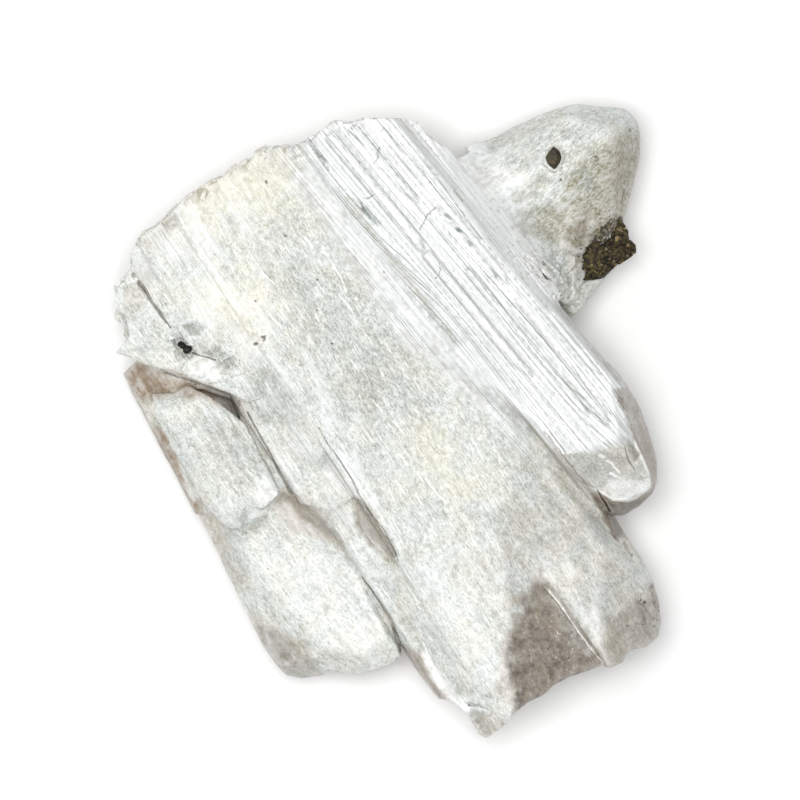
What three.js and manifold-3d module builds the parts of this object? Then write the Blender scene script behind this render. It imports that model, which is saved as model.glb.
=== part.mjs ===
// A danburite specimen: parallel, striated prisms grown together, lying on their flat back.
// Millimetres. +Z is up, -Y runs along the main crystal from its broken root to its tip,
// and the origin is on the resting face, under the middle of the whole specimen.
import * as THREE from "three";
import { mergeVertices } from "three/addons/utils/BufferGeometryUtils.js";
import Module from "manifold-3d";

// ---- driving dimensions ----
const MAIN_TOP = 16.6; // height of the main crystal's broad face
const MAIN_LEFT = -7.5; // its left edge
const MAIN_RIGHT = 15.4; // its right flank
const BLADE_LEFT = -13.1; // left edge of the blade beside it
const SIDE_TOP = 11.6; // broad face of the lower left crystal
const STRIATED_TOP = 19.0; // broad face of the striated crystal, the highest
const STRIATED_HALF = 5.2; // half of that face's width
const STUB_RIDGE = 14.4; // ridge of the cross-grown stub
const STRIATED_AXIS = 17.3; // x of the striated crystal's axis at y = 0
const LEAN = 0.12; // how far that axis drifts to the right, per length towards the tip
const SEAT_GAP = 0.3; // free space round a grain in its pocket
const FAR = 90; // larger than the specimen, for cutting blocks
const CENTRE = new THREE.Vector2(8.048, -2.05); // middle of the specimen in the crystals' frame

const wasm = await Module();
wasm.setup();

// ---- solids ----
function solidOf(geometry) {
  const open = geometry.index ? geometry.toNonIndexed() : geometry;
  const bare = new THREE.BufferGeometry();
  bare.setAttribute("position", open.getAttribute("position"));
  const merged = mergeVertices(bare, 1e-4);
  const mesh = new wasm.Mesh({
    numProp: 3,
    vertProperties: merged.attributes.position.array,
    triVerts: new Uint32Array(merged.index.array),
  });
  return new wasm.Manifold(mesh);
}

function geometryOf(solid) {
  const mesh = solid.getMesh();
  const positions = new Float32Array(mesh.numVert * 3);
  for (let i = 0; i < mesh.numVert; i += 1) {
    const start = i * mesh.numProp;
    positions.set(mesh.vertProperties.subarray(start, start + 3), i * 3);
  }
  const geometry = new THREE.BufferGeometry();
  geometry.setAttribute("position", new THREE.BufferAttribute(positions, 3));
  geometry.setIndex(new THREE.BufferAttribute(mesh.triVerts, 1));
  const flat = geometry.toNonIndexed();
  flat.computeVertexNormals();
  return flat;
}

function extruded(outline, depth) {
  const shape = new THREE.Shape(outline.map(([x, y]) => new THREE.Vector2(x, y)));
  return new THREE.ExtrudeGeometry(shape, { depth, steps: 1, bevelEnabled: false });
}

// A prism whose section, points of [across, up], runs from root to tip. Up stays near +Z.
function prism(section, root, tip) {
  const start = new THREE.Vector3(...root);
  const along = new THREE.Vector3(...tip).sub(start);
  const length = along.length();
  along.normalize();
  const across = new THREE.Vector3(0, 0, 1).cross(along).normalize();
  const up = new THREE.Vector3().crossVectors(along, across);
  const place = new THREE.Matrix4().makeBasis(across, up, along).setPosition(start);
  return solidOf(extruded(section, length).applyMatrix4(place));
}

// The point of the striated crystal's axis at y.
function striatedAxis(y) {
  return [STRIATED_AXIS - y * LEAN, y, 0];
}

// A plate: a plan outline of [x, y] points between two heights.
function plate(outline, low, high) {
  return solidOf(extruded(outline, high - low).translate(0, 0, low));
}

// Cuts away all that lies beyond the plane through point, on the side normal points to.
function cleave(solid, point, normal) {
  const facing = new THREE.Vector3(...normal).normalize();
  const turn = new THREE.Quaternion().setFromUnitVectors(new THREE.Vector3(0, 0, 1), facing);
  const block = new THREE.BoxGeometry(2 * FAR, 2 * FAR, FAR).translate(0, 0, FAR / 2);
  block.applyQuaternion(turn).translate(...point);
  return solid.subtract(solidOf(block));
}

// A facet that drops at slope degrees towards the side of heading, degrees round from +X.
function facet(solid, point, heading, slope) {
  const turn = THREE.MathUtils.degToRad(heading);
  const lean = THREE.MathUtils.degToRad(slope);
  const out = Math.sin(lean);
  return cleave(solid, point, [out * Math.cos(turn), out * Math.sin(turn), Math.cos(lean)]);
}

function joined(solids) {
  return solids.reduce((whole, next) => whole.add(next));
}

// Repeatable chance, so that the specimen is the same each time.
function chance(seed) {
  let state = seed;
  return () => {
    state = (state * 16807) % 2147483647;
    return state / 2147483647;
  };
}

// Growth striations: count uneven ridges between two points of a section, each groove depth deep.
function striations(from, to, count, depth, seed) {
  const next = chance(seed);
  const points = [];
  const step = 1 / count;
  for (let i = 0; i < count; i += 1) {
    const crest = (i + 0.25 + 0.35 * next()) * step;
    const groove = (i + 0.8 + 0.15 * next()) * step;
    const rise = depth * (0.3 * next() - 0.15);
    const drop = depth * (0.45 + 0.55 * next());
    points.push([from[0] + (to[0] - from[0]) * crest, from[1] + (to[1] - from[1]) * crest + rise]);
    points.push([from[0] + (to[0] - from[0]) * groove, from[1] + (to[1] - from[1]) * groove - drop]);
  }
  return [from, ...points, to];
}

// Thin growth layers left standing on a face, each ended by two oblique facets:
// [x, y of the root end, y of the tip end, width, height].
function growthLayers(layers, lean, top) {
  return layers.map(([x, yRoot, yTip, width, height], i) => {
    const drift = Math.tan(THREE.MathUtils.degToRad(lean)) * (yRoot - yTip);
    const half = width / 2;
    const crest = top + height;
    const shelf = [[-half, top - 1], [half, top - 1], [half - 0.15, crest], [-half + 0.25, crest]];
    const blade = prism(shelf, [x, yRoot, 0], [x + drift, yTip, 0]);
    const nose = [x + drift, yTip + 2 * half, top + height * 0.8];
    const side = i % 2 === 0 ? 1 : -1;
    const pointed = facet(blade, nose, 270 + side * 68, 55);
    return facet(pointed, [nose[0], yTip + half, nose[2]], 270 - side * 25, 48);
  });
}

// ---- the crystals ----
const STRIATED_LAYERS = [
  [11.8, 29.5, 13, 1.4, 0.34],
  [14.4, 29, 18, 1.2, 0.42],
  [16.9, 27, 5, 1.0, 0.36],
  [13.6, 13, -5, 1.3, 0.34],
  [16.4, 9, -12, 1.0, 0.44],
  [19.9, 11, -9, 0.9, 0.36],
  [18.4, 3, -14, 1.1, 0.34],
];
const MAIN_LAYERS = [
  [-6.2, 31, -13, 1.5, 0.4],
  [-3.4, 31, 12, 1.7, 0.3],
  [1.4, 30, 20, 2.0, 0.08],
  [-4.4, 6, -26, 1.3, 0.32],
];

const LOWER_WEDGE = [0, -0.83, -0.56]; // the back of a wedge-shaped tip

// Growth terraces on the back face, each ended by a point: [x, y from, y to, width, depth].
const BACK_TERRACES = [
  [-5.6, 40, 6, 1.6, 0.5],
  [-6.4, 8, -18, 1.2, 0.4],
  [5.4, -40, -9, 1.8, 0.45],
  [6.8, -14, 14, 1.1, 0.35],
  [-0.6, -40, -19, 1.5, 0.35],
];

function terraces() {
  return BACK_TERRACES.map(([x, from, to, width, depth]) => {
    const half = width / 2;
    const lead = Math.sign(to - from) * width * 1.6;
    const outline = [[x - half, from], [x + half, from], [x + half * 0.8, to], [x - half, to + lead]];
    return plate(lead > 0 ? outline : outline.reverse(), -1, depth);
  });
}

function mainCrystal() {
  const top = striations([12.6, MAIN_TOP - 1.5], [MAIN_LEFT + 0.6, MAIN_TOP], 11, 0.1, 7);
  const section = [
    [-7.0, 0],
    [8.0, 0],
    [8.4, 0.7],
    [10.6, 0.9],
    ...striations([11.2, 1.6], [MAIN_RIGHT, 9.6], 5, 0.25, 3),
    [14.4, 12.6],
    ...top,
    [MAIN_LEFT, MAIN_TOP - 0.5],
    [-8.0, 12.0],
    [-8.8, 5.0],
  ];
  const body = prism(section, [0, 36, 0], [0, -38, 0]);
  // The broad oblique facet that makes the glassy window at the tip.
  const faced = facet(body, [9.6, -7.6, MAIN_TOP - 1.27], -23, 17);
  const right = cleave(faced, [4, -36.2, 10.5], [0.2, -0.83, -0.56]);
  const left = cleave(right, [2, -36.2, 9.5], [-0.34, -0.8, -0.42]);
  return terraces().reduce((whole, layer) => whole.subtract(layer), left);
}

function bladeCrystals() {
  const upper = [
    [-11.2, 3.2],
    [-6.0, 4.0],
    [-6.0, 16.3],
    ...striations([-6.6, 16.3], [-12.7, 15.9], 4, 0.12, 11),
    [BLADE_LEFT, 14.6],
    [-13.3, 9.2],
  ];
  const short = cleave(prism(upper, [0, 36, 0], [0, -4.6, -1.7]), [-13.3, -2.6, 12], [-0.72, -0.69, 0.1]);
  const lower = [
    [-9.6, 2.6],
    [-6.0, 4.0],
    [-6.0, 15.9],
    ...striations([-6.4, 15.9], [-11.3, 15.4], 4, 0.16, 19),
    [-12.1, 13.6],
    [-12.5, 8.4],
  ];
  const long = prism(lower, [0, 36, 0], [0, -38, -3.7]);
  return joined([short, cleave(long, [-9, -35.9, 8.5], LOWER_WEDGE)]);
}

// The right-hand tip crystal, which stands above the main crystal's oblique facet.
function tipCrystal() {
  const section = [
    [5.2, 6.0],
    [11.0, 4.0],
    [14.6, 7.5],
    [15.3, 10.6],
    [12.9, 13.5],
    ...striations([12.4, 13.8], [6.4, 15.0], 4, 0.08, 23),
    [5.5, 14.6],
    [5.0, 11.0],
  ];
  const body = prism(section, [-0.6, -14, 0.2], [0.3, -39, 0]);
  const faced = facet(body, [9.2, -29.0, 14.5], -25, 27);
  const back = cleave(faced, [8, -37.2, 10.0], LOWER_WEDGE);
  return facet(back, [14.0, -33.0, 11.0], -22, 62);
}

function sideCrystal() {
  const section = [
    [-3.6, 1.4],
    [3.2, 1.0],
    [6.4, 5.0],
    [6.8, 9.8],
    ...striations([5.9, SIDE_TOP], [-3.8, SIDE_TOP - 0.6], 6, 0.1, 31),
    [-4.3, SIDE_TOP - 1.1],
    [-7.1, 6.6],
    [-6.2, 3.6],
  ];
  const body = prism(section, [-12.8, 32, 0], [-19.8, -26, 0]);
  const outline = [
    [-30, 34],
    [-30, -14],
    [-25.4, -14],
    [-25.3, -16.4],
    [-25.0, -18.0],
    [-23.7, -19.2],
    [-21.7, -20.1],
    [-20.6, -19.9],
    [-19.4, -21.5],
    [-17.4, -22.4],
    [-14.6, -23.2],
    [-13.0, -23.0],
    [-12.2, -21.9],
    [-12.0, -17.0],
    [-9, -17],
    [-9, 34],
  ];
  const trimmed = body.intersect(plate(outline, -1, 20));
  // The flank that widens towards the tip, and the tip's own shallow facets.
  const flanked = facet(trimmed, [-21.4, -4.2, SIDE_TOP - 0.7], 186, 36);
  const shouldered = facet(flanked, [-16, -19.8, SIDE_TOP], 262, 24);
  const cornered = facet(shouldered, [-23.2, -17.6, 8.2], 225, 50);
  return cleave(cornered, [-18, -22.6, 6.5], [0, -0.7, -0.71]);
}

// A broken layer that still stands on the side crystal, and the narrow ledge on its flank.
function sideLayers() {
  const section = [
    [-4.5, 9.0],
    [4.5, 9.0],
    [4.3, 13.2],
    ...striations([3.8, 13.9], [-1.4, 13.6], 4, 0.15, 41),
    [-3.2, 12.9],
    [-4.4, 11.6],
  ];
  const body = prism(section, [-16.6, 19, 0], [-18.1, -3, 0]);
  const outline = [
    [-20.4, 16.6],
    [-22.6, 11.0],
    [-22.3, 3.7],
    [-21.8, 1.0],
    [-21.5, -0.5],
    [-20.1, -1.4],
    [-19.2, -0.2],
    [-18.2, 0.6],
    [-17.1, -0.8],
    [-15.0, -0.6],
    [-14.3, -0.1],
    [-13.85, 4.6],
    [-13.45, 8.0],
    [-14.7, 12.1],
    [-16.5, 15.3],
    [-18.4, 15.4],
  ];
  const broken = body.intersect(plate(outline, 8, 16));
  const worn = facet(broken, [-18, 13.4, 13.5], 100, 30);
  const ledge = prism(
    [[-2.0, 4.0], [2.2, 3.0], [2.2, 8.6], [-0.4, 8.3], [-1.6, 7.2]],
    [-19.9, 23, 0],
    [-21.9, 2.4, 0],
  );
  return joined([worn, facet(ledge, [-22.6, 4.2, 8.0], 235, 55)]);
}

// The overhanging ledge at the upper left: a broken plate that shelters a recess.
function ledgePlate() {
  const outline = [
    [-21.9, 22.5],
    [-18.4, 18.6],
    [-16.7, 17.1],
    [-14.6, 13.9],
    [-12.6, 11.4],
    [-12.5, 9.9],
    [-9.0, 9.4],
    [-9.0, 34],
    [-26, 34],
  ];
  const shelf = plate(outline, 10.6, 18);
  const topped = facet(shelf, [-13.0, 20, 16.05], 190, 9);
  const undercut = cleave(topped, [-17.2, 16.9, 15.4], [-0.56, -0.47, -0.68]);
  return cleave(undercut, [-19, 24.5, 14.2], [-0.35, 0.3, -0.89]);
}

function striatedCrystal() {
  const half = STRIATED_HALF;
  const top = striations([4.6, STRIATED_TOP], [0.4 - half, STRIATED_TOP - 0.5], 19, 0.22, 53);
  const section = [
    [-4.0, 7.0],
    [1.6, 5.6],
    [5.0, 9.8],
    [5.9, 14.2],
    [5.0, STRIATED_TOP - 0.9],
    ...top,
    [-half - 0.1, STRIATED_TOP - 1.2],
    [-half - 0.5, 11.5],
  ];
  const outline = [
    [0, 40],
    [0, -15],
    [11.5, -19],
    [14.3, -21.6],
    [15.2, -22.7],
    [16.4, -23.3],
    [18.3, -23.4],
    [20.2, -23.0],
    [21.4, -22.2],
    [22.7, -20.1],
    [23.9, -16.7],
    [24.4, -13.4],
    [24.4, -9.6],
    [23.7, -6.6],
    [22.9, -1.9],
    [23.4, 20],
    [23.4, 40],
  ];
  const body = prism(section, striatedAxis(35), striatedAxis(-26)).intersect(plate(outline, 0, 30));
  const front = facet(body, [14.1, -13.7, STRIATED_TOP - 0.5], 248, 24);
  const right = facet(front, [21.2, -14.2, STRIATED_TOP - 0.3], -27, 38);
  const end = facet(right, [17.4, -22.0, 15.4], 262, 68);
  const leftCorner = facet(end, [15.2, -19.4, 15.9], 208, 66);
  const rightCorner = facet(leftCorner, [21.7, -20.2, 15.0], -18, 72);
  return cleave(rightCorner, [17, -23.5, 11.2], [0, -0.74, -0.67]);
}

// Lower strips of the striated crystal, peeling off on its left and stepping down on its right.
function striatedStrips() {
  const left = [
    [-2.0, 12.5],
    [3.4, 12.5],
    [3.4, 18.1],
    ...striations([3.0, 18.1], [-1.5, 17.5], 5, 0.24, 61),
    [-1.9, 16.6],
  ];
  const strip = prism(left, [10.4, 36, 0], [10.9, 5.0, 0]);
  const taper = prism(left, [10.7, 20, -0.15], [14.6, -7.5, -0.3]);
  // Each step: [reach to the right, height, y of the root end, y of the tip end].
  const places = [[4.7, 16.8, 27, -7], [5.6, 13.8, 25.6, 0], [6.5, 11.4, 25.6, 3]];
  const steps = places.map(([out, top, yRoot, yTip]) => {
    const flank = [[out + 0.2, 8], [out + 0.9, top - 1.2], [out + 0.5, top]];
    const riser = [[out - 3, 8], ...flank, [out - 3, top + 0.8]];
    const body = prism(riser, striatedAxis(yRoot), striatedAxis(yTip));
    return facet(body, [striatedAxis(yTip)[0] + out, yTip + 1.5, top], -60, 48);
  });
  const shortStrip = facet(strip, [9.4, 6.6, 17.6], 240, 50);
  const longStrip = facet(taper, [13.6, -5.6, 17.6], 235, 50);
  return joined([shortStrip, longStrip, ...steps]);
}

// The stub and the splinters at its foot, seen from above.
const STUB_OUTLINE = [
  [14, 22.4],
  [20.4, 22.4],
  [22.8, 21.2],
  [26.1, 20.0],
  [29.6, 19.6],
  [34.0, 19.0],
  [36.9, 18.1],
  [38.8, 16.4],
  [41.2, 14.7],
  [41.6, 12.8],
  [40.8, 10.6],
  [39.5, 9.0],
  [37.1, 6.7],
  [34.4, 4.4],
  [32.4, 1.4],
  [30.6, 0.3],
  [28.4, -0.2],
  [25.9, -1.2],
  [23.0, -1.9],
  [14, -1.9],
];

// The stub that grew across the others: two broad sloping faces and a diagonal broken end.
function crossStub() {
  const section = [
    [-8.0, 2.2],
    [4.6, 3.4],
    [10.8, 7.6],
    [7.4, 11.2],
    ...striations([5.4, 12.4], [1.0, STUB_RIDGE - 0.1], 3, 0.14, 83),
    [-0.6, STUB_RIDGE],
    [-4.0, STUB_RIDGE - 1.3],
    [-9.4, 11.4],
    [-12.6, 9.2],
    [-15.4, 6.4],
    [-13.2, 3.4],
  ];
  const body = prism(section, [14, 12.0, 0.4], [44, 13.6, -0.9]).intersect(plate(STUB_OUTLINE, 0, 20));
  const back = facet(body, [29.6, 19.2, 9.4], 84, 64);
  const end = facet(back, [40.9, 13.4, 10.2], 6, 66);
  const shoulder = facet(end, [38.6, 16.0, 10.4], 48, 58);
  const diagonal = facet(shoulder, [38.0, 8.2, 8.8], -43, 62);
  const hollow = facet(diagonal, [25.0, 9.6, 12.5], -118, 13);
  const under = cleave(hollow, [38, 9, 5.6], [0.46, -0.2, -0.86]);
  return cleave(under, [27, -0.4, 6.0], [0.1, -0.62, -0.78]);
}

// Short splinters in the angle between the stub and the striated crystal.
function splinters() {
  const places = [
    [23.2, 11.4, 12, 6.4, 14.0],
    [24.6, 8.8, 30, 4.4, 12.9],
    [23.7, 6.0, 8, 5.6, 13.0],
    [25.6, 5.2, -6, 4.2, 11.9],
    [23.9, 2.4, 6, 3.0, 11.6],
    [26.6, 6.6, 34, 2.8, 12.0],
    [22.9, 18.6, 6, 5.2, 15.2],
  ];
  return places.map(([x, y, turn, length, top]) => {
    const heading = THREE.MathUtils.degToRad(turn - 90);
    const reach = [Math.cos(heading) * length, Math.sin(heading) * length];
    const section = [[-1.0, top - 4], [1.1, top - 4], [0.8, top - 0.5], [-0.3, top], [-1.1, top - 0.9]];
    const shaft = prism(section, [x, y, 0.3], [x + reach[0], y + reach[1], -1.2]);
    const splinter = shaft.intersect(plate(STUB_OUTLINE, 0, 20));
    return facet(splinter, [x + reach[0] * 0.8, y + reach[1] * 0.8, top - 0.7], turn - 80, 44);
  });
}

// Smaller prisms on the back, beside the broad flat face on which the specimen lies:
// [x at y = 30, x at y = -30, y of the tip, half width, lowest, highest].
const BACK_PRISMS = [
  [11.0, 15.0, -19, 3.4, 1.2, 9.0],
  [14.6, 20.6, -11, 3.0, 3.4, 10.5],
  [17.2, 22.0, 3, 2.4, 5.2, 11.5],
  [-9.0, -12.6, -19, 2.8, 0.5, 8.0],
  [-12.8, -18.6, -14, 3.0, 0.8, 8.6],
  [-16.0, -22.4, 2, 2.4, 2.4, 8.0],
  [-4.6, -5.2, -4, 2.2, -0.6, 6.0],
  [6.6, 7.2, -15, 1.6, -0.6, 5.0],
];

function backCrystals() {
  return BACK_PRISMS.map(([xRoot, xTip, yTip, half, low, high]) => {
    const middle = (low + high) / 2;
    const section = [
      [-half, middle - 0.6],
      [-half * 0.62, low + 0.3],
      [-half * 0.1, low],
      [half * 0.5, low + 0.15],
      [half, middle - 0.2],
      [half * 0.7, high],
      [-half * 0.6, high],
    ];
    const body = prism(section, [xRoot, 30, 0], [xTip, -30, 0]);
    const nose = cleave(body, [xRoot + (xTip - xRoot) * 0.6, yTip, middle], [0.12, -0.8, -0.59]);
    return cleave(nose, [xRoot + (xTip - xRoot) * 0.6, yTip, middle], [-0.1, -0.9, 0.42]);
  });
}

// ---- breakage ----
// The root end, where the specimen broke off. Lower down the break steps inwards.
const ROOT_BREAK = [
  [-26, 22.6],
  [-21.9, 22.5],
  [-20.5, 22.7],
  [-18.8, 23.3],
  [-18.1, 25.1],
  [-18.5, 27.0],
  [-17.2, 28.7],
  [-14.6, 29.3],
  [-13.8, 30.5],
  [-11.6, 32.0],
  [-9.1, 31.9],
  [-5.7, 32.7],
  [-2.5, 32.8],
  [0.0, 32.4],
  [0.9, 32.9],
  [1.9, 32.4],
  [5.0, 32.7],
  [7.1, 31.5],
  [7.7, 30.9],
  [10.0, 30.4],
  [12.9, 30.8],
  [14.1, 29.9],
  [16.6, 28.9],
  [20.4, 26.2],
  [21.2, 24.8],
  [21.3, 22.6],
  [24.5, 21.6],
];

function rootBreak() {
  const bands = [[12.6, 30, 0], [8.8, 12.6, 0.7], [4.6, 8.8, 1.9], [-2, 4.6, 3.1]];
  const next = chance(77);
  return bands.map(([low, high, inset]) => {
    const edge = ROOT_BREAK.map(([x, y]) => [x + inset * (next() - 0.5), y - inset * (0.5 + next())]);
    return plate([...edge, [24.5, FAR], [-FAR, FAR], [-FAR, edge[0][1]]], low, high);
  });
}

// Uneven bites low on the broken root.
function rootBites() {
  const next = chance(101);
  return ROOT_BREAK.slice(2, -2).map(([x, y]) => {
    const size = 1.5 + 1.6 * next();
    const bite = new THREE.TetrahedronGeometry(size).rotateX(6 * next()).rotateZ(6 * next());
    return solidOf(bite.translate(x + next(), y - 1.2 - next(), 1 + 10.5 * next()));
  });
}

// The tip end of the main crystal, the blade and the tip crystal.
const TIP_BREAK = [
  [-16, -26.2],
  [-12.4, -27.2],
  [-12.1, -29.3],
  [-10.8, -30.4],
  [-10.3, -32.4],
  [-10.5, -34.9],
  [-10.0, -35.8],
  [-7.7, -35.6],
  [-6.3, -35.0],
  [-3.9, -34.8],
  [-2.1, -35.1],
  [-0.5, -34.8],
  [1.3, -35.0],
  [5.2, -36.0],
  [5.7, -36.6],
  [7.3, -36.9],
  [8.3, -36.3],
  [9.1, -36.4],
  [10.5, -37.0],
  [12.2, -36.7],
  [13.4, -35.6],
  [14.4, -33.5],
  [15.1, -31.1],
  [15.4, -28.0],
];

// Small wedges knocked out of edges: [x, y, z, heading of the open side, size].
const CHIPS = [
  [-12.4, -5.4, 14.2, 200, 1.6],
  [-8.4, -28.5, 13.2, 215, 2.0],
  [-9.2, -33.2, 11.8, 230, 2.2],
  [-25.3, -8.6, 7.6, 180, 1.4],
  [-19.4, -20.9, 10.6, 250, 1.6],
  [14.9, -26.6, 11.2, 10, 1.8],
  [8.4, -36.4, 12.6, 275, 1.3],
  [-1.6, -35.0, 13.4, 268, 1.2],
  [22.2, -5.0, 17.6, 5, 1.2],
  [20.3, 16.6, 18.2, 25, 1.5],
  [36.0, 6.2, 9.6, -40, 1.6],
  [40.6, 11.6, 10.6, -10, 1.4],
  [-3.4, 32.2, 16.4, 95, 1.5],
  [4.2, 32.4, 16.2, 80, 1.7],
  [-10.2, 31.6, 16.0, 110, 1.4],
  [12.0, 30.4, 17.6, 85, 1.3],
  [-13.2, 10.6, 14.4, 215, 1.5],
];

function chips() {
  return CHIPS.map(([x, y, z, heading, size]) => {
    const flake = new THREE.TetrahedronGeometry(size).rotateX(0.7);
    flake.rotateZ(THREE.MathUtils.degToRad(heading)).scale(1, 1, 0.8);
    return solidOf(flake.translate(x, y, z));
  });
}

// Hollows: the groove in the ledge plate, the pit beside the blade and the one under the ledge.
function hollows() {
  const groove = prism([[-0.35, 16.9], [0.05, 14.6], [0.4, 16.9]], [-14.8, 28.0, 0], [-14.5, 20.8, 0.4]);
  const pitOutline = [[-7.3, -5.6], [-7.2, -13.4], [-8.6, -13.0], [-10.2, -10.0], [-8.6, -5.8]];
  const bladePit = cleave(plate(pitOutline, 12.2, 20), [-7.3, -9, 14.7], [-0.44, 0.04, -0.9]);
  const recess = [[-13.5, 8.6], [-13.4, 11.4], [-15.4, 14.0], [-17.0, 15.0], [-15.0, 10.6]];
  const ledgePit = plate(recess, 9.6, 12.6);
  return [groove, bladePit, ledgePit];
}

// ---- foreign grains in the danburite ----
// A lumpy grain: an icosahedron with uneven corners, stretched to its half sizes.
function grain(halfSizes, turn, centre, roughness, detail, seed) {
  const next = chance(seed);
  const faces = new THREE.IcosahedronGeometry(1, detail);
  const ball = mergeVertices(faces.deleteAttribute("normal").deleteAttribute("uv"));
  const corners = ball.getAttribute("position");
  for (let i = 0; i < corners.count; i += 1) {
    const swell = 1 + roughness * (2 * next() - 1);
    corners.setXYZ(i, corners.getX(i) * swell, corners.getY(i) * swell, corners.getZ(i) * swell);
  }
  const place = new THREE.Matrix4().makeRotationZ(THREE.MathUtils.degToRad(turn));
  return (grow) => {
    const sized = ball.clone().scale(...halfSizes.map((half) => half + grow));
    return solidOf(sized.applyMatrix4(place).translate(...centre));
  };
}

const matrixLump = (grow) =>
  joined([
    grain([3.0, 1.8, 2.8], 14, [29.9, 2.2, 8.4], 0.14, 2, 5)(grow),
    grain([1.8, 1.4, 2.2], 40, [32.4, 3.4, 8.2], 0.12, 1, 9)(grow),
    grain([1.5, 1.2, 1.9], -10, [32.1, 1.5, 7.6], 0.12, 1, 13)(grow),
  ]);
const lensGrain = grain([1.45, 0.92, 0.6], 56, [31.35, 14.2, 13.42], 0.05, 1, 21);
const darkGrain = (grow) =>
  joined([
    grain([0.75, 0.5, 0.55], -62, [-14.55, 19.3, 15.62], 0.08, 1, 27)(grow),
    grain([0.7, 0.62, 0.55], -40, [-14.2, 18.4, 15.72], 0.08, 1, 33)(grow),
  ]);

function cluster() {
  const grown = joined([
    mainCrystal(),
    bladeCrystals(),
    tipCrystal(),
    sideCrystal(),
    sideLayers(),
    ledgePlate(),
    striatedCrystal(),
    striatedStrips(),
    crossStub(),
    ...splinters(),
    ...backCrystals(),
    ...growthLayers(STRIATED_LAYERS, 6.8, STRIATED_TOP - 0.25),
    ...growthLayers(MAIN_LAYERS, 0.6, MAIN_TOP - 0.45),
  ]);
  const rooted = rootBreak().reduce((whole, band) => whole.subtract(band), grown);
  const tipCutter = plate([...TIP_BREAK, [17.5, -24.2], [FAR, -24.2], [FAR, -FAR], [-16, -FAR]], -2, 30);
  const tipped = rooted.subtract(tipCutter);
  const losses = [...chips(), ...rootBites(), ...hollows()];
  const chipped = losses.reduce((whole, loss) => whole.subtract(loss), tipped);
  const pockets = [matrixLump(SEAT_GAP), lensGrain(SEAT_GAP), darkGrain(SEAT_GAP)];
  const pocketed = pockets.reduce((whole, pocket) => whole.subtract(pocket), chipped);
  const standing = cleave(pocketed, [0, 0, 0], [0, 0, -1]);
  // Slivers that a cut has set loose fall away.
  return standing.decompose().sort((a, b) => b.volume() - a.volume())[0];
}

// ---- the specimen ----
const danburite = new THREE.MeshStandardMaterial({ color: "#e9ebe6", roughness: 0.35, metalness: 0 });
const ironRock = new THREE.MeshStandardMaterial({ color: "#5d5240", roughness: 0.9, metalness: 0 });
const brownCrystal = new THREE.MeshStandardMaterial({ color: "#4a4026", roughness: 0.5, metalness: 0 });
const blackMineral = new THREE.MeshStandardMaterial({ color: "#161514", roughness: 0.6, metalness: 0 });

function piece(name, solid, material) {
  const mesh = new THREE.Mesh(geometryOf(solid), material);
  mesh.name = name;
  return mesh;
}

const specimen = new THREE.Group();
specimen.add(
  piece("danburite_crystals", cluster(), danburite),
  piece("matrix_lump", matrixLump(0), ironRock),
  piece("brown_lens_grain", lensGrain(0), brownCrystal),
  piece("black_grain", darkGrain(0), blackMineral),
);
specimen.position.set(-CENTRE.x, -CENTRE.y, 0);

export default specimen;
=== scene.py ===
import math

import bpy
import numpy as np
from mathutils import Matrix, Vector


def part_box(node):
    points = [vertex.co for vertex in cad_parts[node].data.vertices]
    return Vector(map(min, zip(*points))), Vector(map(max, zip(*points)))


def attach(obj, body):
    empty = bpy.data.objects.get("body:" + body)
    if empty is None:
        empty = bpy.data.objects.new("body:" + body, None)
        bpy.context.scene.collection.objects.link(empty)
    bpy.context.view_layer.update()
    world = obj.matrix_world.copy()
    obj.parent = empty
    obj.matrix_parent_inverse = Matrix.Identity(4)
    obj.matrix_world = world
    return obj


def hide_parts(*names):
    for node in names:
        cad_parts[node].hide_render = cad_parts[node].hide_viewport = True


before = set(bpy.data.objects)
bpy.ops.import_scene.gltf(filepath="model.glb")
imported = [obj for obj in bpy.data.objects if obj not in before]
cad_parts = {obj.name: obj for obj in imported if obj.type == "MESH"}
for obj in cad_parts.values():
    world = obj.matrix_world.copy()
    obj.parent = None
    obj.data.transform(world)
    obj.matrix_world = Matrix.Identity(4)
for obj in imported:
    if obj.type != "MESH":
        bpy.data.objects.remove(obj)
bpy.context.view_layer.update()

mm = 0.001
specimenMiddle = (8.048, -2.05)  # mm; outlines below are drawn around another origin than the part's
cameraTurn = math.radians(33)  # between the length of the main crystal and the camera's upward direction
print("frame loaded")


def linear(hexColour):  # an sRGB hex value as the linear colour that Blender wants
    parts = [int(hexColour[i:i + 2], 16) / 255 for i in (1, 3, 5)]
    return [c / 12.92 if c <= 0.04045 else ((c + 0.055) / 1.055) ** 2.4 for c in parts] + [1.0]


def addNode(tree, kind, settings=None, **links):  # _3 stands for input number 3, other names for themselves
    node = tree.nodes.new("ShaderNode" + kind)

    def socket(key):
        return node.inputs[int(key[1:]) if key[1:].isdigit() else key.replace("_", " ")]

    for key, value in (settings or {}).items():
        if hasattr(node, key):
            setattr(node, key, value)
        else:
            socket(key).default_value = value
    for key, source in links.items():
        tree.links.new(source, socket(key))
    return node


def selectOnly(piece):
    bpy.ops.object.select_all(action="DESELECT")
    piece.select_set(True)
    bpy.context.view_layer.objects.active = piece


def applyModifier(piece, kind, **settings):
    selectOnly(piece)
    modifier = piece.modifiers.new(kind.lower(), kind)
    for key, value in settings.items():
        setattr(modifier, key, value)
    bpy.ops.object.modifier_apply(modifier=modifier.name)


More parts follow.
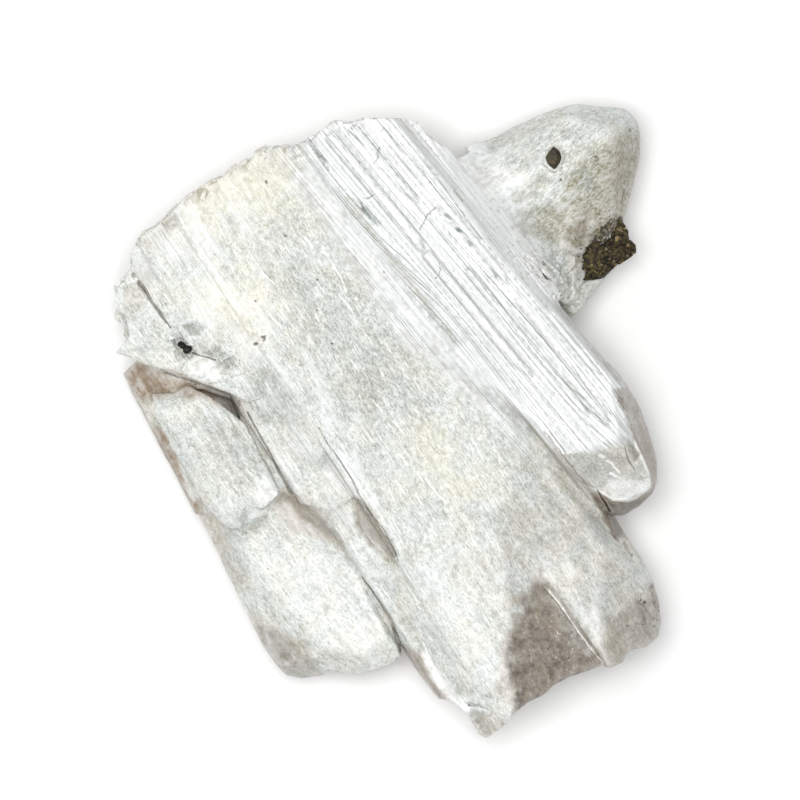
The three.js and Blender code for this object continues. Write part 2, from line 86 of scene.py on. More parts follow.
def copyOfNode(node, name):  # a CAD node's mesh as a new piece, with its loose triangles merged
    piece = bpy.data.objects.new(name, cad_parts[node].data.copy())
    bpy.context.collection.objects.link(piece)
    selectOnly(piece)
    bpy.ops.object.mode_set(mode="EDIT")
    bpy.ops.mesh.select_all(action="SELECT")
    bpy.ops.mesh.remove_doubles(threshold=1e-6)
    bpy.ops.object.mode_set(mode="OBJECT")
    return piece


def readVertices(piece, what="co"):
    flat = np.empty(len(piece.data.vertices) * 3, np.float32)
    piece.data.vertices.foreach_get(what, flat)
    return flat.reshape(-1, 3).astype(float)


def writeVertices(piece, points, node):  # kept inside the box of the CAD node that the piece stands for
    low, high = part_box(node)
    points = np.clip(points, np.array(low), np.array(high))
    piece.data.vertices.foreach_set("co", points.astype(np.float32).ravel())
    piece.data.update()


def writeAttribute(piece, name, values):
    vector = values.ndim == 2
    attribute = piece.data.attributes.new(name, "FLOAT_VECTOR" if vector else "FLOAT", "POINT")
    attribute.data.foreach_set("vector" if vector else "value", values.astype(np.float32).ravel())


# Noise for the sculpting, one value for each point, about -1 to 1.
draw = np.random.default_rng(11)
shuffle = draw.permutation(256).astype(np.int32)
slopes = draw.normal(size=(256, 3)).astype(np.float32)
slopes /= np.linalg.norm(slopes, axis=1)[:, None]
levels = draw.random(256)


def noise(points, seed):
    cell = np.floor(points)
    part = (points - cell).astype(np.float32)
    x, y, z = cell.astype(np.int32).T
    fade = part ** 3 * (part * (part * 6 - 15) + 10)
    total = np.zeros(len(points), np.float32)
    for dx in (0, 1):
        alongX = shuffle[(x + dx + seed) & 255]
        weightX = fade[:, 0] if dx else 1 - fade[:, 0]
        for dy in (0, 1):
            alongY = shuffle[(alongX + y + dy) & 255]
            weightY = weightX * (fade[:, 1] if dy else 1 - fade[:, 1])
            for dz in (0, 1):
                slope = slopes[shuffle[(alongY + z + dz) & 255]]
                rise = slope[:, 0] * (part[:, 0] - dx) + slope[:, 1] * (part[:, 1] - dy)
                rise += slope[:, 2] * (part[:, 2] - dz)
                total += weightY * (fade[:, 2] if dz else 1 - fade[:, 2]) * rise
    return total * 1.7


def fractal(points, octaves, seed):
    total = 0
    for octave in range(octaves):
        total = total + noise(points * 2.03 ** octave + 17.3 * octave, seed + 31 * octave) * 0.5 ** octave
    return total


def cells(points, seed):  # broken-facet noise: a random level and tilt in each random cell
    cell = np.floor(points)
    part = (points - cell).astype(np.float32)
    cell = cell.astype(np.int32)
    best = np.full(len(points), 9.0, np.float32)
    level = np.zeros(len(points), np.float32)
    for corner in range(27):
        step = np.array([corner % 3 - 1, corner // 3 % 3 - 1, corner // 9 - 1])
        x, y, z = (cell + step).T
        pick = shuffle[(shuffle[(shuffle[(x + seed) & 255] + y) & 255] + z) & 255]
        centre = step + np.stack([levels[pick], levels[(pick + 71) & 255], levels[(pick + 139) & 255]], 1)
        away = centre - part
        distance = np.einsum("ij,ij->i", away, away)
        nearer = distance < best
        best[nearer] = distance[nearer]
        tilt = np.einsum("ij,ij->i", slopes[pick[nearer]], away[nearer])
        level[nearer] = levels[(pick[nearer] + 33) & 255] - 0.5 + 0.8 * tilt
    return level


def smooth(low, high, value):  # 0 below low, 1 above high, eased between them
    t = np.clip((value - low) / (high - low), 0, 1)
    return t * t * (3 - 2 * t)


def distanceTo(line, x, y):  # from each point to a polyline in plan, and how far along it that is, 0 to 1
    distance = np.full(len(x), 1e9)
    reached = np.zeros(len(x))
    legs = list(zip(line, line[1:]))
    for leg, ((ax, ay), (bx, by)) in enumerate(legs):
        ex, ey = bx - ax, by - ay
        along = np.clip(((x - ax) * ex + (y - ay) * ey) / (ex * ex + ey * ey), 0, 1)
        away = np.hypot(x - ax - along * ex, y - ay - along * ey)
        reached = np.where(away < distance, (leg + along) / len(legs), reached)
        distance = np.minimum(distance, away)
    return distance, reached


def inside(outline, x, y, soft):  # 1 inside a plan outline, 0 outside, eased over soft mm each side
    result = np.zeros(len(x))
    corners = np.array(outline)
    low, high = corners.min(axis=0) - soft, corners.max(axis=0) + soft
    near = (x > low[0]) & (x < high[0]) & (y > low[1]) & (y < high[1])
    px, py = x[near], y[near]
    distance, _ = distanceTo(outline + outline[:1], px, py)
    within = np.zeros(len(px), bool)
    for (ax, ay), (bx, by) in zip(outline, outline[1:] + outline[:1]):
        if ay != by:
            within ^= ((ay > py) != (by > py)) & (px < ax + (py - ay) * (bx - ax) / (by - ay))
    result[near] = smooth(-soft, soft, np.where(within, distance, -distance))
    return result


# Where each crystal lies in plan, mm, and how many degrees its length is turned from the main crystal's.
crystals = {
    "striated": {
        "turn": 6.8,
        "outline": [(8.4, 36), (8.8, 7.6), (12.6, -5.6), (13.7, -13.9), (14.6, -21.6), (15.2, -26),
                    (27, -26), (27, -8), (23.2, -1.9), (22.9, 10), (22.3, 23), (21, 36)],
    },
    "stub": {
        "turn": 96,
        "outline": [(22.8, -3), (23.2, -1.9), (22.9, 10), (22.3, 23), (23, 25), (45, 25), (45, -3)],
    },
    "tip": {
        "turn": 0,
        "outline": [(5.0, -24.3), (6.4, -19.8), (10, -21), (17, -23.4), (17, -39), (5.6, -39),
                    (5.4, -29.8)],
    },
    "blade": {
        "turn": 0,
        "outline": [(-7.6, 36), (-7.6, -14), (-7.9, -20), (-8.6, -28), (-10, -39), (-15, -39), (-12.4, -22),
                    (-11.7, -16.7), (-11.6, -9.6), (-13.3, -2.3), (-13.3, 8.4), (-12.6, 12), (-12.6, 36)],
    },
    "side": {
        "turn": 6.9,
        "outline": [(-12.4, -27), (-12.4, -22), (-11.7, -16.7), (-11.6, -9.6), (-13.3, -2.3), (-13.3, 8.4),
                    (-12.6, 12), (-12.6, 18), (-27, 26), (-30, -27)],
    },
}

# Grooves, cracks and gaps between crystals: plan line, half width at its start and end, depth, all mm.
grooves = [
    ([(-14.7, 27.7), (-14.6, 26.6), (-14.7, 25.1), (-14.6, 23.2), (-14.5, 21.5)], 0.24, 0.08, 0.25),
    ([(-14.0, 17.9), (-13.5, 17.2), (-12.9, 16.6), (-12.3, 15.8)], 0.1, 0.06, 0.25),
    ([(-12.5, 9.1), (-12.7, 6.8), (-12.9, 4.1), (-13.2, 1.3), (-13.4, -1.1)], 0.08, 0.2, 0.35),
    ([(-6.8, 3.3), (-6.9, 1.5), (-6.8, -1.1), (-6.8, -3.5), (-7.1, -5.6)], 0.05, 0.1, 0.2),
    ([(-7.1, -5.6), (-7.1, -8.0), (-6.9, -10.4), (-7.4, -13.9)], 0.1, 0.06, 0.2),
    ([(-11.8, -13.2), (-11.7, -16.6), (-11.8, -19.3), (-12.7, -22.7)], 0.06, 0.3, 0.5),
    ([(14.3, 11.4), (14.1, 10.7), (13.5, 10.2), (13.0, 10.1)], 0.06, 0.06, 0.1),
    ([(15.8, 25.6), (15.1, 25.2), (15.1, 24.8), (14.2, 24.4)], 0.07, 0.06, 0.1),
    ([(12.4, 21.6), (11.5, 21.5), (11.2, 21.9)], 0.06, 0.06, 0.1),
    ([(17.3, 16.6), (16.1, 16.5), (15.3, 16.0), (14.4, 15.5)], 0.07, 0.06, 0.12),
    ([(20.4, -16.9), (19.9, -18.4), (20.0, -19.7)], 0.1, 0.07, 0.15),
    ([(15.3, -19.3), (15.3, -20.5), (15.3, -22.0)], 0.14, 0.1, 0.7),
    ([(15.4, -20.0), (16.0, -21.3), (17.4, -22.4), (18.5, -22.7)], 0.1, 0.08, 0.1),
    ([(4.4, -25.2), (4.8, -27.7), (4.9, -31.5), (5.0, -33.8), (5.4, -36.2)], 0.06, 0.09, 0.1),
    # painted shadow: a fine dark line along the striated crystal's left edge, where it overhangs the main
    # crystal
    ([(13.9, -10.6), (14.0, -12.9), (14.3, -15.5), (14.6, -18.2)], 0.06, 0.1, 0.1),
    # painted shade: a shallow groove along the ledge's lower edge, darkened for the shade under the ledge
    ([(-17.8, 17.8), (-15.1, 14.4), (-13.3, 11.9)], 0.1, 0.2, 0.1),
]

# Raised white seams, and on the clear parts bright streaks and ridges that are painted highlights: plan line
# and half width, mm.
seams = [
    ([(-15.2, 28.3), (-14.6, 27.9)], 0.3),
    ([(3.4, 22.0), (3.5, 20.3)], 0.12),
    ([(4.0, 19.6), (4.5, 18.7)], 0.14),
    ([(4.3, 17.5), (4.3, 15.8), (4.0, 14.0)], 0.08),
    ([(4.3, 13.2), (4.6, 12.9)], 0.2),
    ([(4.2, 10.7), (4.1, 10.5)], 0.18),
    ([(-2.7, 21.4), (-2.2, 19.1)], 0.08),
    ([(-4.6, 16.9), (-4.1, 14.8)], 0.1),
    ([(-0.2, 3.1), (0.1, 0.9)], 0.08),
    ([(0.5, -0.1), (0.8, -2.5)], 0.08),
    ([(-0.9, -3.8), (-0.8, -5.6)], 0.12),
    ([(0.0, -7.7), (0.2, -9.7), (0.5, -11.5)], 0.08),
    # painted highlights on the glassy tip, each raised a little: three bright streaks, its lit ridge and its
    # rim
    ([(17.5, -16.0), (18.0, -16.7)], 0.16),
    ([(17.8, -16.9), (18.2, -17.7), (18.3, -18.4), (18.4, -19.1)], 0.08),
    ([(17.4, -18.3), (17.8, -19.0), (18.2, -19.6)], 0.14),
    ([(21.7, -16.6), (21.4, -18.8), (21.0, -21.2)], 0.13),
    ([(14.6, -18.3), (15.6, -19.8), (16.2, -21.0), (17.6, -22.0), (18.6, -22.3), (20.6, -22.1)], 0.12),
    ([(22.4, -11.7), (22.1, -13.3), (22.1, -14.2)], 0.16),
    # painted highlight: the lit ridge between the clear window and the raised wedge, a raised seam
    ([(4.6, -24.9), (4.9, -26.7), (5.0, -29.4), (5.0, -32.2), (5.2, -34.3), (5.5, -36.1)], 0.08),
    ([(7.7, -30.0), (7.4, -31.4), (6.9, -32.6)], 0.12),
    ([(-19.2, -0.7), (-17.8, -1.0), (-16.3, -1.0), (-14.8, -0.5), (-14.2, 0.2)], 0.3),
    ([(-10.1, -22.3), (-10.5, -25.4), (-10.8, -28.5), (-10.9, -30.1)], 0.12),
    ([(6.6, 24.0), (6.8, 19.0), (7.3, 14.4)], 0.1),
]

# Fine brown iron branches in the clear tip of the small crystal: plan lines, mm.
branches = [
    [(12.3, -31.7), (12.7, -33.2), (12.9, -34.9)],
    [(12.6, -32.8), (13.8, -33.2), (14.2, -34.0)],
    [(12.8, -33.5), (11.7, -34.4)],
    [(14.9, -31.5), (13.6, -32.3)],
]

# Small pits, and holes left where grains fell out: x, y, half width, mm.
pits = [
    (3.1, 29.3, 0.2), (2.0, 17.1, 0.16), (-0.5, 10.3, 0.14), (0.1, 14.3, 0.14), (8.6, 13.8, 0.14),
    (30.7, 11.8, 0.24), (-4.4, -33.3, 0.3), (-6.5, 14.9, 0.26), (-7.5, 14.9, 0.22), (1.7, 23.1, 0.2),
    (-5.0, 18.9, 0.16), (24.1, 5.0, 0.3), (14.8, -21.2, 0.2), (10.0, -33.8, 0.18), (13.0, -32.6, 0.2),
]

# Places on the danburite that the lists below use more than once, as plan outlines in mm.
stubHollow = [(24.9, 11.3), (26.0, 11.1), (28.0, 10.1), (29.0, 8.6), (28.7, 6.2), (26.8, 6.2),
              (25.4, 7.1), (23.8, 8.7), (23.7, 10.1)]
stubDent = [(25.0, 12.6), (27.0, 13.6), (29.4, 13.3), (29.4, 12.3), (27.6, 11.5), (25.4, 11.6)]
rockDent = [(28.9, 6.8), (30.7, 6.5), (30.2, 5.0), (28.8, 4.1), (27.9, 4.9), (27.7, 6.1)]
tipDent = [(20.9, -16.1), (21.6, -16.7), (21.4, -18.5), (20.6, -18.9), (20.5, -17.6)]
ledgeDent = [(-13.3, 20.9), (-12.3, 20.7), (-11.7, 19.6), (-12.3, 19.2), (-13.2, 19.8)]
ledgeScar = [(-12.9, 17.2), (-11.6, 16.8), (-10.4, 15.1), (-10.4, 13.5), (-11.8, 14.4), (-12.7, 16.1)]
mainHollow = [(-7.7, -5.5), (-7.1, -6.4), (-6.8, -8.8), (-6.7, -11.4), (-7.1, -13.3), (-8.4, -13.2),
              (-8.9, -11.1), (-9.3, -9.8), (-9.3, -8.2)]
endWindow = [(4.4, -24.4), (4.9, -25.8), (4.9, -29.5), (5.0, -32.3), (5.5, -36.1), (4, -39), (-6, -39),
             (-5.3, -32.1), (-3.6, -29.0), (-1.0, -26.8), (1.2, -25.6)]
tipCorner = [(12.2, -31.6), (15.6, -31.8), (15.0, -35.4), (12.4, -38.0), (10.2, -38.5), (8.1, -38.8),
             (5.7, -38.8), (5.4, -36.1), (7.5, -32.4), (9.5, -32.2)]
sideHollow = [(-15.4, -0.2), (-14.0, -0.4), (-13.5, -3.4), (-12.9, -6.1), (-12.8, -7.5), (-14.6, -6.0),
              (-15.5, -4.4), (-16.0, -2.8)]
bladeCorner = [(-12.2, -22.0), (-11.1, -23.4), (-11.5, -26.5), (-11.4, -29.5), (-11.0, -31.2),
               (-12.6, -31.6), (-14, -28), (-13.4, -24.3)]

# Where the surface is broken, or shows growth lines faintly, as plan outlines in mm.
shardsByStub = [(21.3, 8.2), (23.2, 6.7), (26.4, 4.6), (28.3, 3.6), (27.5, 1.7), (26.5, -0.2), (23.8, -1.4),
                (22.9, 0.2), (21.9, 4.7)]
brokenLedge = [(-16.3, 20.6), (-13.4, 21.2), (-10.4, 16.6), (-9.8, 12.6), (-12.2, 10.6), (-14.8, 14.2),
               (-17.2, 17.4)]
faintLines = [(-15.5, 31), (-4, 33), (0, 33), (-2, 12), (-4, -4), (-7.5, -16), (-12, -12), (-13, 8),
              (-11, 14), (-14.5, 20)]

# Shallow hollows where pieces broke away: depth and edge softness in mm, plan outline.
hollows = [
    (0.45, 1.0, stubHollow),
    (0.3, 0.8, stubDent),
    (0.4, 0.6, rockDent),
    (0.5, 0.8, [(28.2, 2.0), (28.8, 3.5), (30.2, 4.6), (32.0, 5.0), (33.8, 5.0), (34.4, 4.0), (32.6, 2.6),
                (30.4, 1.6), (29.0, 1.0)]),
    (0.25, 0.4, [(23.1, 5.6), (24.5, 5.8), (25.9, 5.4), (25.7, 4.6), (24.2, 4.6)]),
    (0.3, 0.4, tipDent),
    (0.25, 0.4, ledgeDent),
    (0.3, 0.6, ledgeScar),
    (0.35, 0.5, mainHollow),
]


def planPosition(points):
    x, y, z = points.T / mm
    return x + specimenMiddle[0], y + specimenMiddle[1], z


def alongCrystal(here, turn):  # mm across the crystal, along it towards its tip, and up
    x, y, z = here.T
    turn = np.radians(turn)
    return np.stack([x * np.cos(turn) + y * np.sin(turn), x * np.sin(turn) - y * np.cos(turn), z], 1)


def fromGroove(groove, here):  # how far each point is from it, counted in its half widths
    line, widthStart, widthEnd, _ = groove
    away, reached = distanceTo(line, here[:, 0] + 0.06 * noise(here / 0.9, 61), here[:, 1])
    return away / (widthStart + (widthEnd - widthStart) * reached)


def fromPit(pit, here):
    px, py, width = pit
    ragged = width * noise(here / 0.4, 63), width * noise(here / 0.4, 64)
    return np.hypot(here[:, 0] - px + ragged[0], here[:, 1] - py + ragged[1]) / width


def fromSeam(seam, here):  # also 1 along it, fading to 0 at its ends
    line, width = seam
    away, reached = distanceTo(line, here[:, 0] + 0.06 * noise(here / 0.9, 65), here[:, 1])
    return away / width, smooth(0, 0.1, reached) * smooth(1, 0.9, reached)


growthLines = {
    "spacing": 0.72,  # mm from one to the next
    "broadWander": (1.2, 3.4, 30),  # how many lines they wander, over how many mm across and along
    "fineWander": (0.9, 1.05, 24),
    "step": 0.07,  # mm, the most between the levels of two layers
    "tilt": 0.08,  # mm, twice the most that a layer rises from edge to edge
    "end": ((15, -14.3), -0.45, 0.5),  # a place on the glassy tip's edge, its slope, and its wander in mm
    "fadingLeft": (1.8, 3.8),  # mm from the striated face where they start to fade, and are gone
    "fadingRight": (0.6, 1.6),
    "onTheRight": 0.8,  # how clearly they show there, at most
    "unbroken": 0.8,  # how unbroken they are next to the striated face
    "faint": 0.6,  # how clearly they show inside faintLines
}


def growthField(across, along):  # rises by 1 from one growth line of the striated face to the next
    field = across / growthLines["spacing"]
    for kind, sheet, seed in (("broadWander", 0.5, 3), ("fineWander", 5.5, 5)):
        lines, width, length = growthLines[kind]
        field = field + lines * noise(np.stack([across / width, along / length, 0 * across + sheet], 1), seed)
    return field


def striatedRelief(across, along):  # mm: each growth layer has its own level and tilt
    field = growthField(across, along)
    layer = np.floor(field).astype(np.int64)
    part = field - layer
    level = levels[shuffle[layer & 255]] - 0.5
    tilt = levels[shuffle[(layer + 90) & 255]] - 0.5
    return growthLines["step"] * level + growthLines["tilt"] * tilt * (part - 0.5)


danburiteShape = {
    "voxel": 0.13,  # mm
    "striatedTriangles": 62000,  # the striated face keeps the finest mesh
    "upperTriangles": 84000,
    "lowerTriangles": 47000,
    "groundPitch": 0.2,  # mm, of the grid that the eased heights are spread on
    "groundLevel": 15,  # mm, a height that the eased ground is measured from
    "wallKept": (5.5, 4),  # mm; a rise of the first height keeps its foot, and one of the second is eased
    "faceEasing": (0.85, 10),  # share, and rounds of averaging, for the growth steps of the smoother faces
    "stubRounds": 40,  # rounds of averaging that leave the stub well rounded
    "wear": 0.10,  # mm lost from sharp edges where they are chipped
    "chips": (1.3, 0.5),  # mm, coarse and fine
    # textures: height, and size, or size across each crystal, along it and up, all mm
    "grit": (0.02, 0.5),
    "ripple": (0.03, 1.7),
    "tipWave": (0.14, (2.2, 3.5, 3)),  # on the striated crystal's glassy tip
    "stubLumps": (0.1, 3.2),
    "stubGrit": (0.03, (0.5, 0.9, 0.7)),
    "fibres": (0.03, (0.6, 3.5, 0.9)),
    "swell": (0.06, 2.6),
    "mainFibres": (0.026, (0.5, 1.1, 0.7)),
    "mainSwell": (0.035, (3.2, 5, 4)),
    "mainGrit": (0.02, 0.95),
    "facetSize": (1.3, 1.0, 1.1),  # mm, where it is broken
    "brokenFacets": (0.35, 0.14, 0.26, 0.1),  # mm: the root end, underside, shards by the stub, and ledge
    "pitDepth": 0.8,  # share of its half width
    "seamHeight": 0.03,  # mm
    "hollowWobble": (0.3, 1.1),  # mm by which a hollow's edge wanders, and over how far
    "deepest": -0.6,  # mm, the most that wear and textures take away
    "proudest": 0.35,  # mm, the most that they add
    "smoothAngle": 32,  # degrees; sharper edges than this stay sharp
}


def texture(kind, points, seed):
    height, size = danburiteShape[kind]
    return height * noise(points / size, seed)


def edgeEnds(piece):
    ends = np.empty(len(piece.data.edges) * 2, np.int32)
    piece.data.edges.foreach_get("vertices", ends)
    return ends.reshape(-1, 2).T


def averaged(points, ends, rounds):  # each point moved to the middle of its neighbours, over and over
    a, b = ends
    size = len(points)
    count = np.bincount(a, minlength=size) + np.bincount(b, minlength=size)
    joined = (count > 0)[:, None]
    for _ in range(rounds):
        total = np.stack([np.bincount(a, points[b, k], size) + np.bincount(b, points[a, k], size)
                          for k in range(3)], 1)
        points = np.where(joined, total / np.maximum(count, 1)[:, None], points)
    return points


def proudness(piece, points, normals, rounds):  # mm by which each point stands proud of its neighbours
    return np.einsum("ij,ij->i", points - averaged(points, edgeEnds(piece), rounds), normals) / mm


# Ground that runs gently from one crystal to the next, where their steps have healed over: how far it is
# spread in mm, how much the higher side counts, how complete it is, and its plan outline.
easedGround = [
    (1.6, 1.0, 1.0, [(-13.3, 29), (-13.2, 22), (-12.0, 17), (-11.2, 13), (-11.4, 8), (-10.8, 3), (-9, 0.5),
                     (-7.8, 0.5), (-5.0, 4), (-4.5, 10), (-4.5, 31), (-9.5, 31)]),
    (1.5, 0.3, 0.9, [(-6.3, 31), (6.8, 31), (7.2, 10), (9.5, 2), (11.3, -5), (12.0, -11), (6, -13.5),
                     (-1, -15), (-4.5, -30), (-6.3, -30), (-6.3, 0)]),
    (1.4, 0.5, 0.9, [(-10.2, -14), (-5.6, -14), (-5.4, -34), (-10.8, -32)]),
    (1.7, 0.3, 0.95, [(6.2, 30.5), (10.6, 30.5), (11.6, 20), (12.2, 10), (13.8, 0), (14.3, -6), (14.4, -10),
                      (11.4, -4.5), (8.8, 1), (6.8, 9), (6.2, 20)]),
    (1.6, 0.3, 1.0, [(19.8, 27), (25.6, 27), (26.2, 10), (25.6, 3), (23.8, 0.5), (21.8, 1), (20.4, 8)]),
    (1.6, 0.3, 1.0, [(3, -14.5), (9.5, -15), (11.0, -22), (8.4, -25.5), (6.4, -26.0), (5.6, -24.8),
                     (3.8, -22)]),
    (0.9, 0.5, 0.8, [(-21.6, 6.4), (-18.8, 5.6), (-17.6, 2.5), (-17.0, 0.1), (-18.1, -1.5), (-20.0, -1.2),
                     (-20.8, 1.9)]),
    (1.2, 0.5, 0.9, [(-12.6, 0.0), (-11.5, -0.2), (-8.6, -3.9), (-8.2, -6.5), (-9.0, -7.9), (-12.0, -6.7),
                     (-13.0, -3.1)]),
    (0.6, 0.3, 0.6, [(-13.1, 11.4), (-12.0, 9.9), (-12.4, 5.6), (-12.9, -0.8), (-14.3, -1.1), (-14.6, 2.6),
                     (-14.0, 8.0)]),
    (0.8, 0.4, 0.9, [(-20.7, 1.3), (-18.2, 1.5), (-17.1, 0.0), (-17.0, -1.4), (-18.9, -2.0), (-20.8, -2.0),
                     (-21.9, -0.5)]),
    (0.9, 0.5, 0.9, [(-9.8, -30.4), (-7.8, -30.9), (-6.5, -33.0), (-6.7, -35.3), (-8.9, -36.6),
                     (-10.7, -35.4), (-10.8, -32.7)]),
    (0.5, 4.0, 0.9, [(32.2, 15.7), (32.7, 14.7), (32.3, 13.5), (31.3, 12.5), (30.1, 12.5), (29.7, 13.6),
                     (30.1, 14.9), (31.1, 15.7)]),
    (0.5, 4.0, 0.9, [(-13.7, 19.8), (-13.1, 18.9), (-13.3, 17.9), (-14.2, 17.4), (-15.2, 17.7),
                     (-15.7, 18.5), (-15.6, 19.5), (-14.7, 20.0)]),
]


def levelled(piece):  # eases the ground between the crystals
    points = readVertices(piece)
    upright = readVertices(piece, "normal")[:, 2] > -0.1
    x, y, _ = planPosition(points)
    pitch, level = danburiteShape["groundPitch"], danburiteShape["groundLevel"]
    # the heights on a grid in plan, spread out softly with the higher ones counting more, then read back
    for spread, upper, amount, outline in easedGround:
        share = amount * inside(outline, x, y, 0.7 * spread) * upright
        near = np.nonzero(share > 0)[0]
        height = points[near, 2] / mm
        reach = int(3 * spread / pitch)
        plan = np.stack([x[near], y[near]])
        plan = (plan - plan.min(axis=1, keepdims=True)) / pitch + reach + 1
        spot = plan.astype(int)
        ground = np.zeros(spot.max(axis=1) + reach + 2)
        np.maximum.at(ground, tuple(spot), height)
        known = (ground > 0).astype(float)
        weight = known * np.exp(upper * (ground - level))
        bell = np.exp(-0.5 * (np.arange(-reach, reach + 1) * pitch / spread) ** 2)
        for axis in (0, 1):
            known = np.apply_along_axis(np.convolve, axis, known, bell, "same")
            weight = np.apply_along_axis(np.convolve, axis, weight, bell, "same")
        eased = level + np.log(np.maximum(weight, 1e-9) / np.maximum(known, 1e-9)) / upper
        spot = (plan - 0.5).astype(int)
        (i, j), (u, v) = spot, plan - 0.5 - spot
        target = (1 - u) * ((1 - v) * eased[i, j] + v * eased[i, j + 1])
        target += u * ((1 - v) * eased[i + 1, j] + v * eased[i + 1, j + 1])
        change = target - height
        points[near, 2] += share[near] * change * smooth(*danburiteShape["wallKept"], change) * mm
    writeVertices(piece, points, "danburite_crystals")


def softened(piece):  # rounds off the stub, and the growth steps on the smoother faces
    points = readVertices(piece)
    normals = readVertices(piece, "normal")
    x, y, _ = planPosition(points)
    stub = inside(crystals["stub"]["outline"], x, y, 0.3)
    striated = inside(crystals["striated"]["outline"], x, y, 0.3)
    ends = edgeEnds(piece)
    faces = (1 - np.maximum(stub, striated)) * smooth(0.3, 0.7, normals[:, 2])
    share, rounds = danburiteShape["faceEasing"]
    points += share * faces[:, None] * (averaged(points, ends, rounds) - points)
    stub *= smooth(-0.5, 0.2, normals[:, 2])
    local = ends[:, (stub[ends[0]] > 0) & (stub[ends[1]] > 0)]
    points += stub[:, None] * (averaged(points, local, danburiteShape["stubRounds"]) - points)
    writeVertices(piece, points, "danburite_crystals")


def weathered(piece):  # wears the edges, roughens the faces and cuts the grooves, pits and hollows
    points = readVertices(piece)
    normals = readVertices(piece, "normal")
    x, y, z = planPosition(points)
    here = np.stack([x, y, z], 1)
    upward = smooth(0.15, 0.6, normals[:, 2])
    grip = 1 - smooth(-12, -16, y) * (x > 13.5)  # the striated crystal's glassy tip stays smooth

    proud = proudness(piece, points, normals, 6)
    coarse, fine = danburiteShape["chips"]
    chipped = smooth(-0.15, 0.5, noise(here / coarse, 41) + 0.5 * noise(here / fine, 43))
    move = -danburiteShape["wear"] * smooth(0.01, 0.09, proud) * (0.3 + 1.6 * chipped) * (0.4 + 0.6 * grip)
    move += (texture("grit", here, 1) + texture("ripple", here, 2)) * grip

    for name, crystal in crystals.items():
        weight = inside(crystal["outline"], x, y, 0.15)
        part = np.nonzero(weight > 0.001)[0]
        local = alongCrystal(here[part], crystal["turn"])
        if name == "striated":
            relief = striatedRelief(local[:, 0], local[:, 1])
            move[part] += weight[part] * relief * upward[part] * grip[part]
            height, size = danburiteShape["tipWave"]
            move[part] += weight[part] * height * noise(local / size, 8) * (1 - grip[part])
        elif name == "stub":
            height, size = danburiteShape["stubLumps"]
            lumps = height * fractal(here[part] / size, 2, 13) + texture("stubGrit", local, 19)
            move[part] += weight[part] * lumps
        else:
            move[part] += weight[part] * (texture("fibres", local, 21) + texture("swell", here[part], 23))
    main = 1 - np.max([inside(c["outline"], x, y, 0.2) for c in crystals.values()], axis=0)
    ripples = texture("mainFibres", here, 25) + texture("mainSwell", here, 27)
    move += main * (ripples + texture("mainGrit", here, 29))

    hackly = smooth(22, 26, y + 0.12 * (x - 5)) * smooth(0.1, 0.5, normals[:, 1])
    under = smooth(-0.3, -0.7, normals[:, 2])
    shards = inside(shardsByStub, x, y, 0.6)
    ledge = inside(brokenLedge, x, y, 0.6)
    rough = np.nonzero(hackly + under + shards + ledge > 0.01)[0]
    facets = cells(here[rough] / danburiteShape["facetSize"], 51)
    atRoot, below, byStub, onLedge = danburiteShape["brokenFacets"]
    broken = atRoot * hackly[rough] + below * under[rough] + byStub * shards[rough] + onLedge * ledge[rough]
    move[rough] += broken * facets

    flat = (z < 0.05) & (normals[:, 2] < -0.7)
    move = np.where(flat, 0, np.clip(move, danburiteShape["deepest"], danburiteShape["proudest"]))
    points += normals * (move * mm)[:, None]

    sink = np.zeros(len(x))
    for groove in grooves:
        sink = np.maximum(sink, groove[-1] * smooth(1.25, 0.35, fromGroove(groove, here)))
    for pit in pits:
        sink = np.maximum(sink, danburiteShape["pitDepth"] * pit[-1] * smooth(1.2, 0.2, fromPit(pit, here)))
    for seam in seams:
        away, ends = fromSeam(seam, here)
        sink -= danburiteShape["seamHeight"] * smooth(1.4, 0.4, away) * ends
    wobble, size = danburiteShape["hollowWobble"]
    wandering = x + wobble * noise(here / size, 67)
    for depth, soft, outline in hollows:
        sink += depth * inside(outline, wandering, y, soft)
    points[:, 2] -= np.minimum(sink, np.maximum(z - 1, 0)) * (normals[:, 2] > 0.25) * mm
    writeVertices(piece, points, "danburite_crystals")


def thinned(piece, chosen, triangles):  # leaves about that many triangles in the chosen part of the mesh
    corners = np.empty(len(piece.data.loops), np.int32)
    piece.data.loops.foreach_get("vertex_index", corners)
    before = chosen[corners.reshape(-1, 3)].any(axis=1).sum()
    selectOnly(piece)
    bpy.ops.object.mode_set(mode="EDIT")
    bpy.ops.mesh.select_mode(type="VERT")
    bpy.ops.mesh.select_all(action="DESELECT")  # or faces selected before would be thinned again
    bpy.ops.object.mode_set(mode="OBJECT")
    piece.data.vertices.foreach_set("select", chosen)
    bpy.ops.object.mode_set(mode="EDIT")
    bpy.ops.mesh.decimate(ratio=min(1, triangles / before))
    bpy.ops.object.mode_set(mode="OBJECT")
    print("thinned from", before, "triangles; whole piece now", len(piece.data.polygons))


def makeDanburite():
    piece = copyOfNode("danburite_crystals", "danburite")
    applyModifier(piece, "REMESH", mode="VOXEL", voxel_size=danburiteShape["voxel"] * mm, adaptivity=0)
    print("danburite remeshed:", len(piece.data.polygons), "faces")
    levelled(piece)
    softened(piece)
    weathered(piece)
    applyModifier(piece, "TRIANGULATE")
    for part in ("lower", "upper", "striated"):
        x, y, _ = planPosition(readVertices(piece))
        up = readVertices(piece, "normal")[:, 2] > 0.2
        face = up & (inside(crystals["striated"]["outline"], x, y, 0.1) > 0.5)
        chosen = {"lower": ~up, "upper": up & ~face, "striated": face}[part]
        thinned(piece, chosen, danburiteShape[part + "Triangles"])
    selectOnly(piece)
    bpy.ops.object.shade_smooth_by_angle(angle=math.radians(danburiteShape["smoothAngle"]))
    return piece
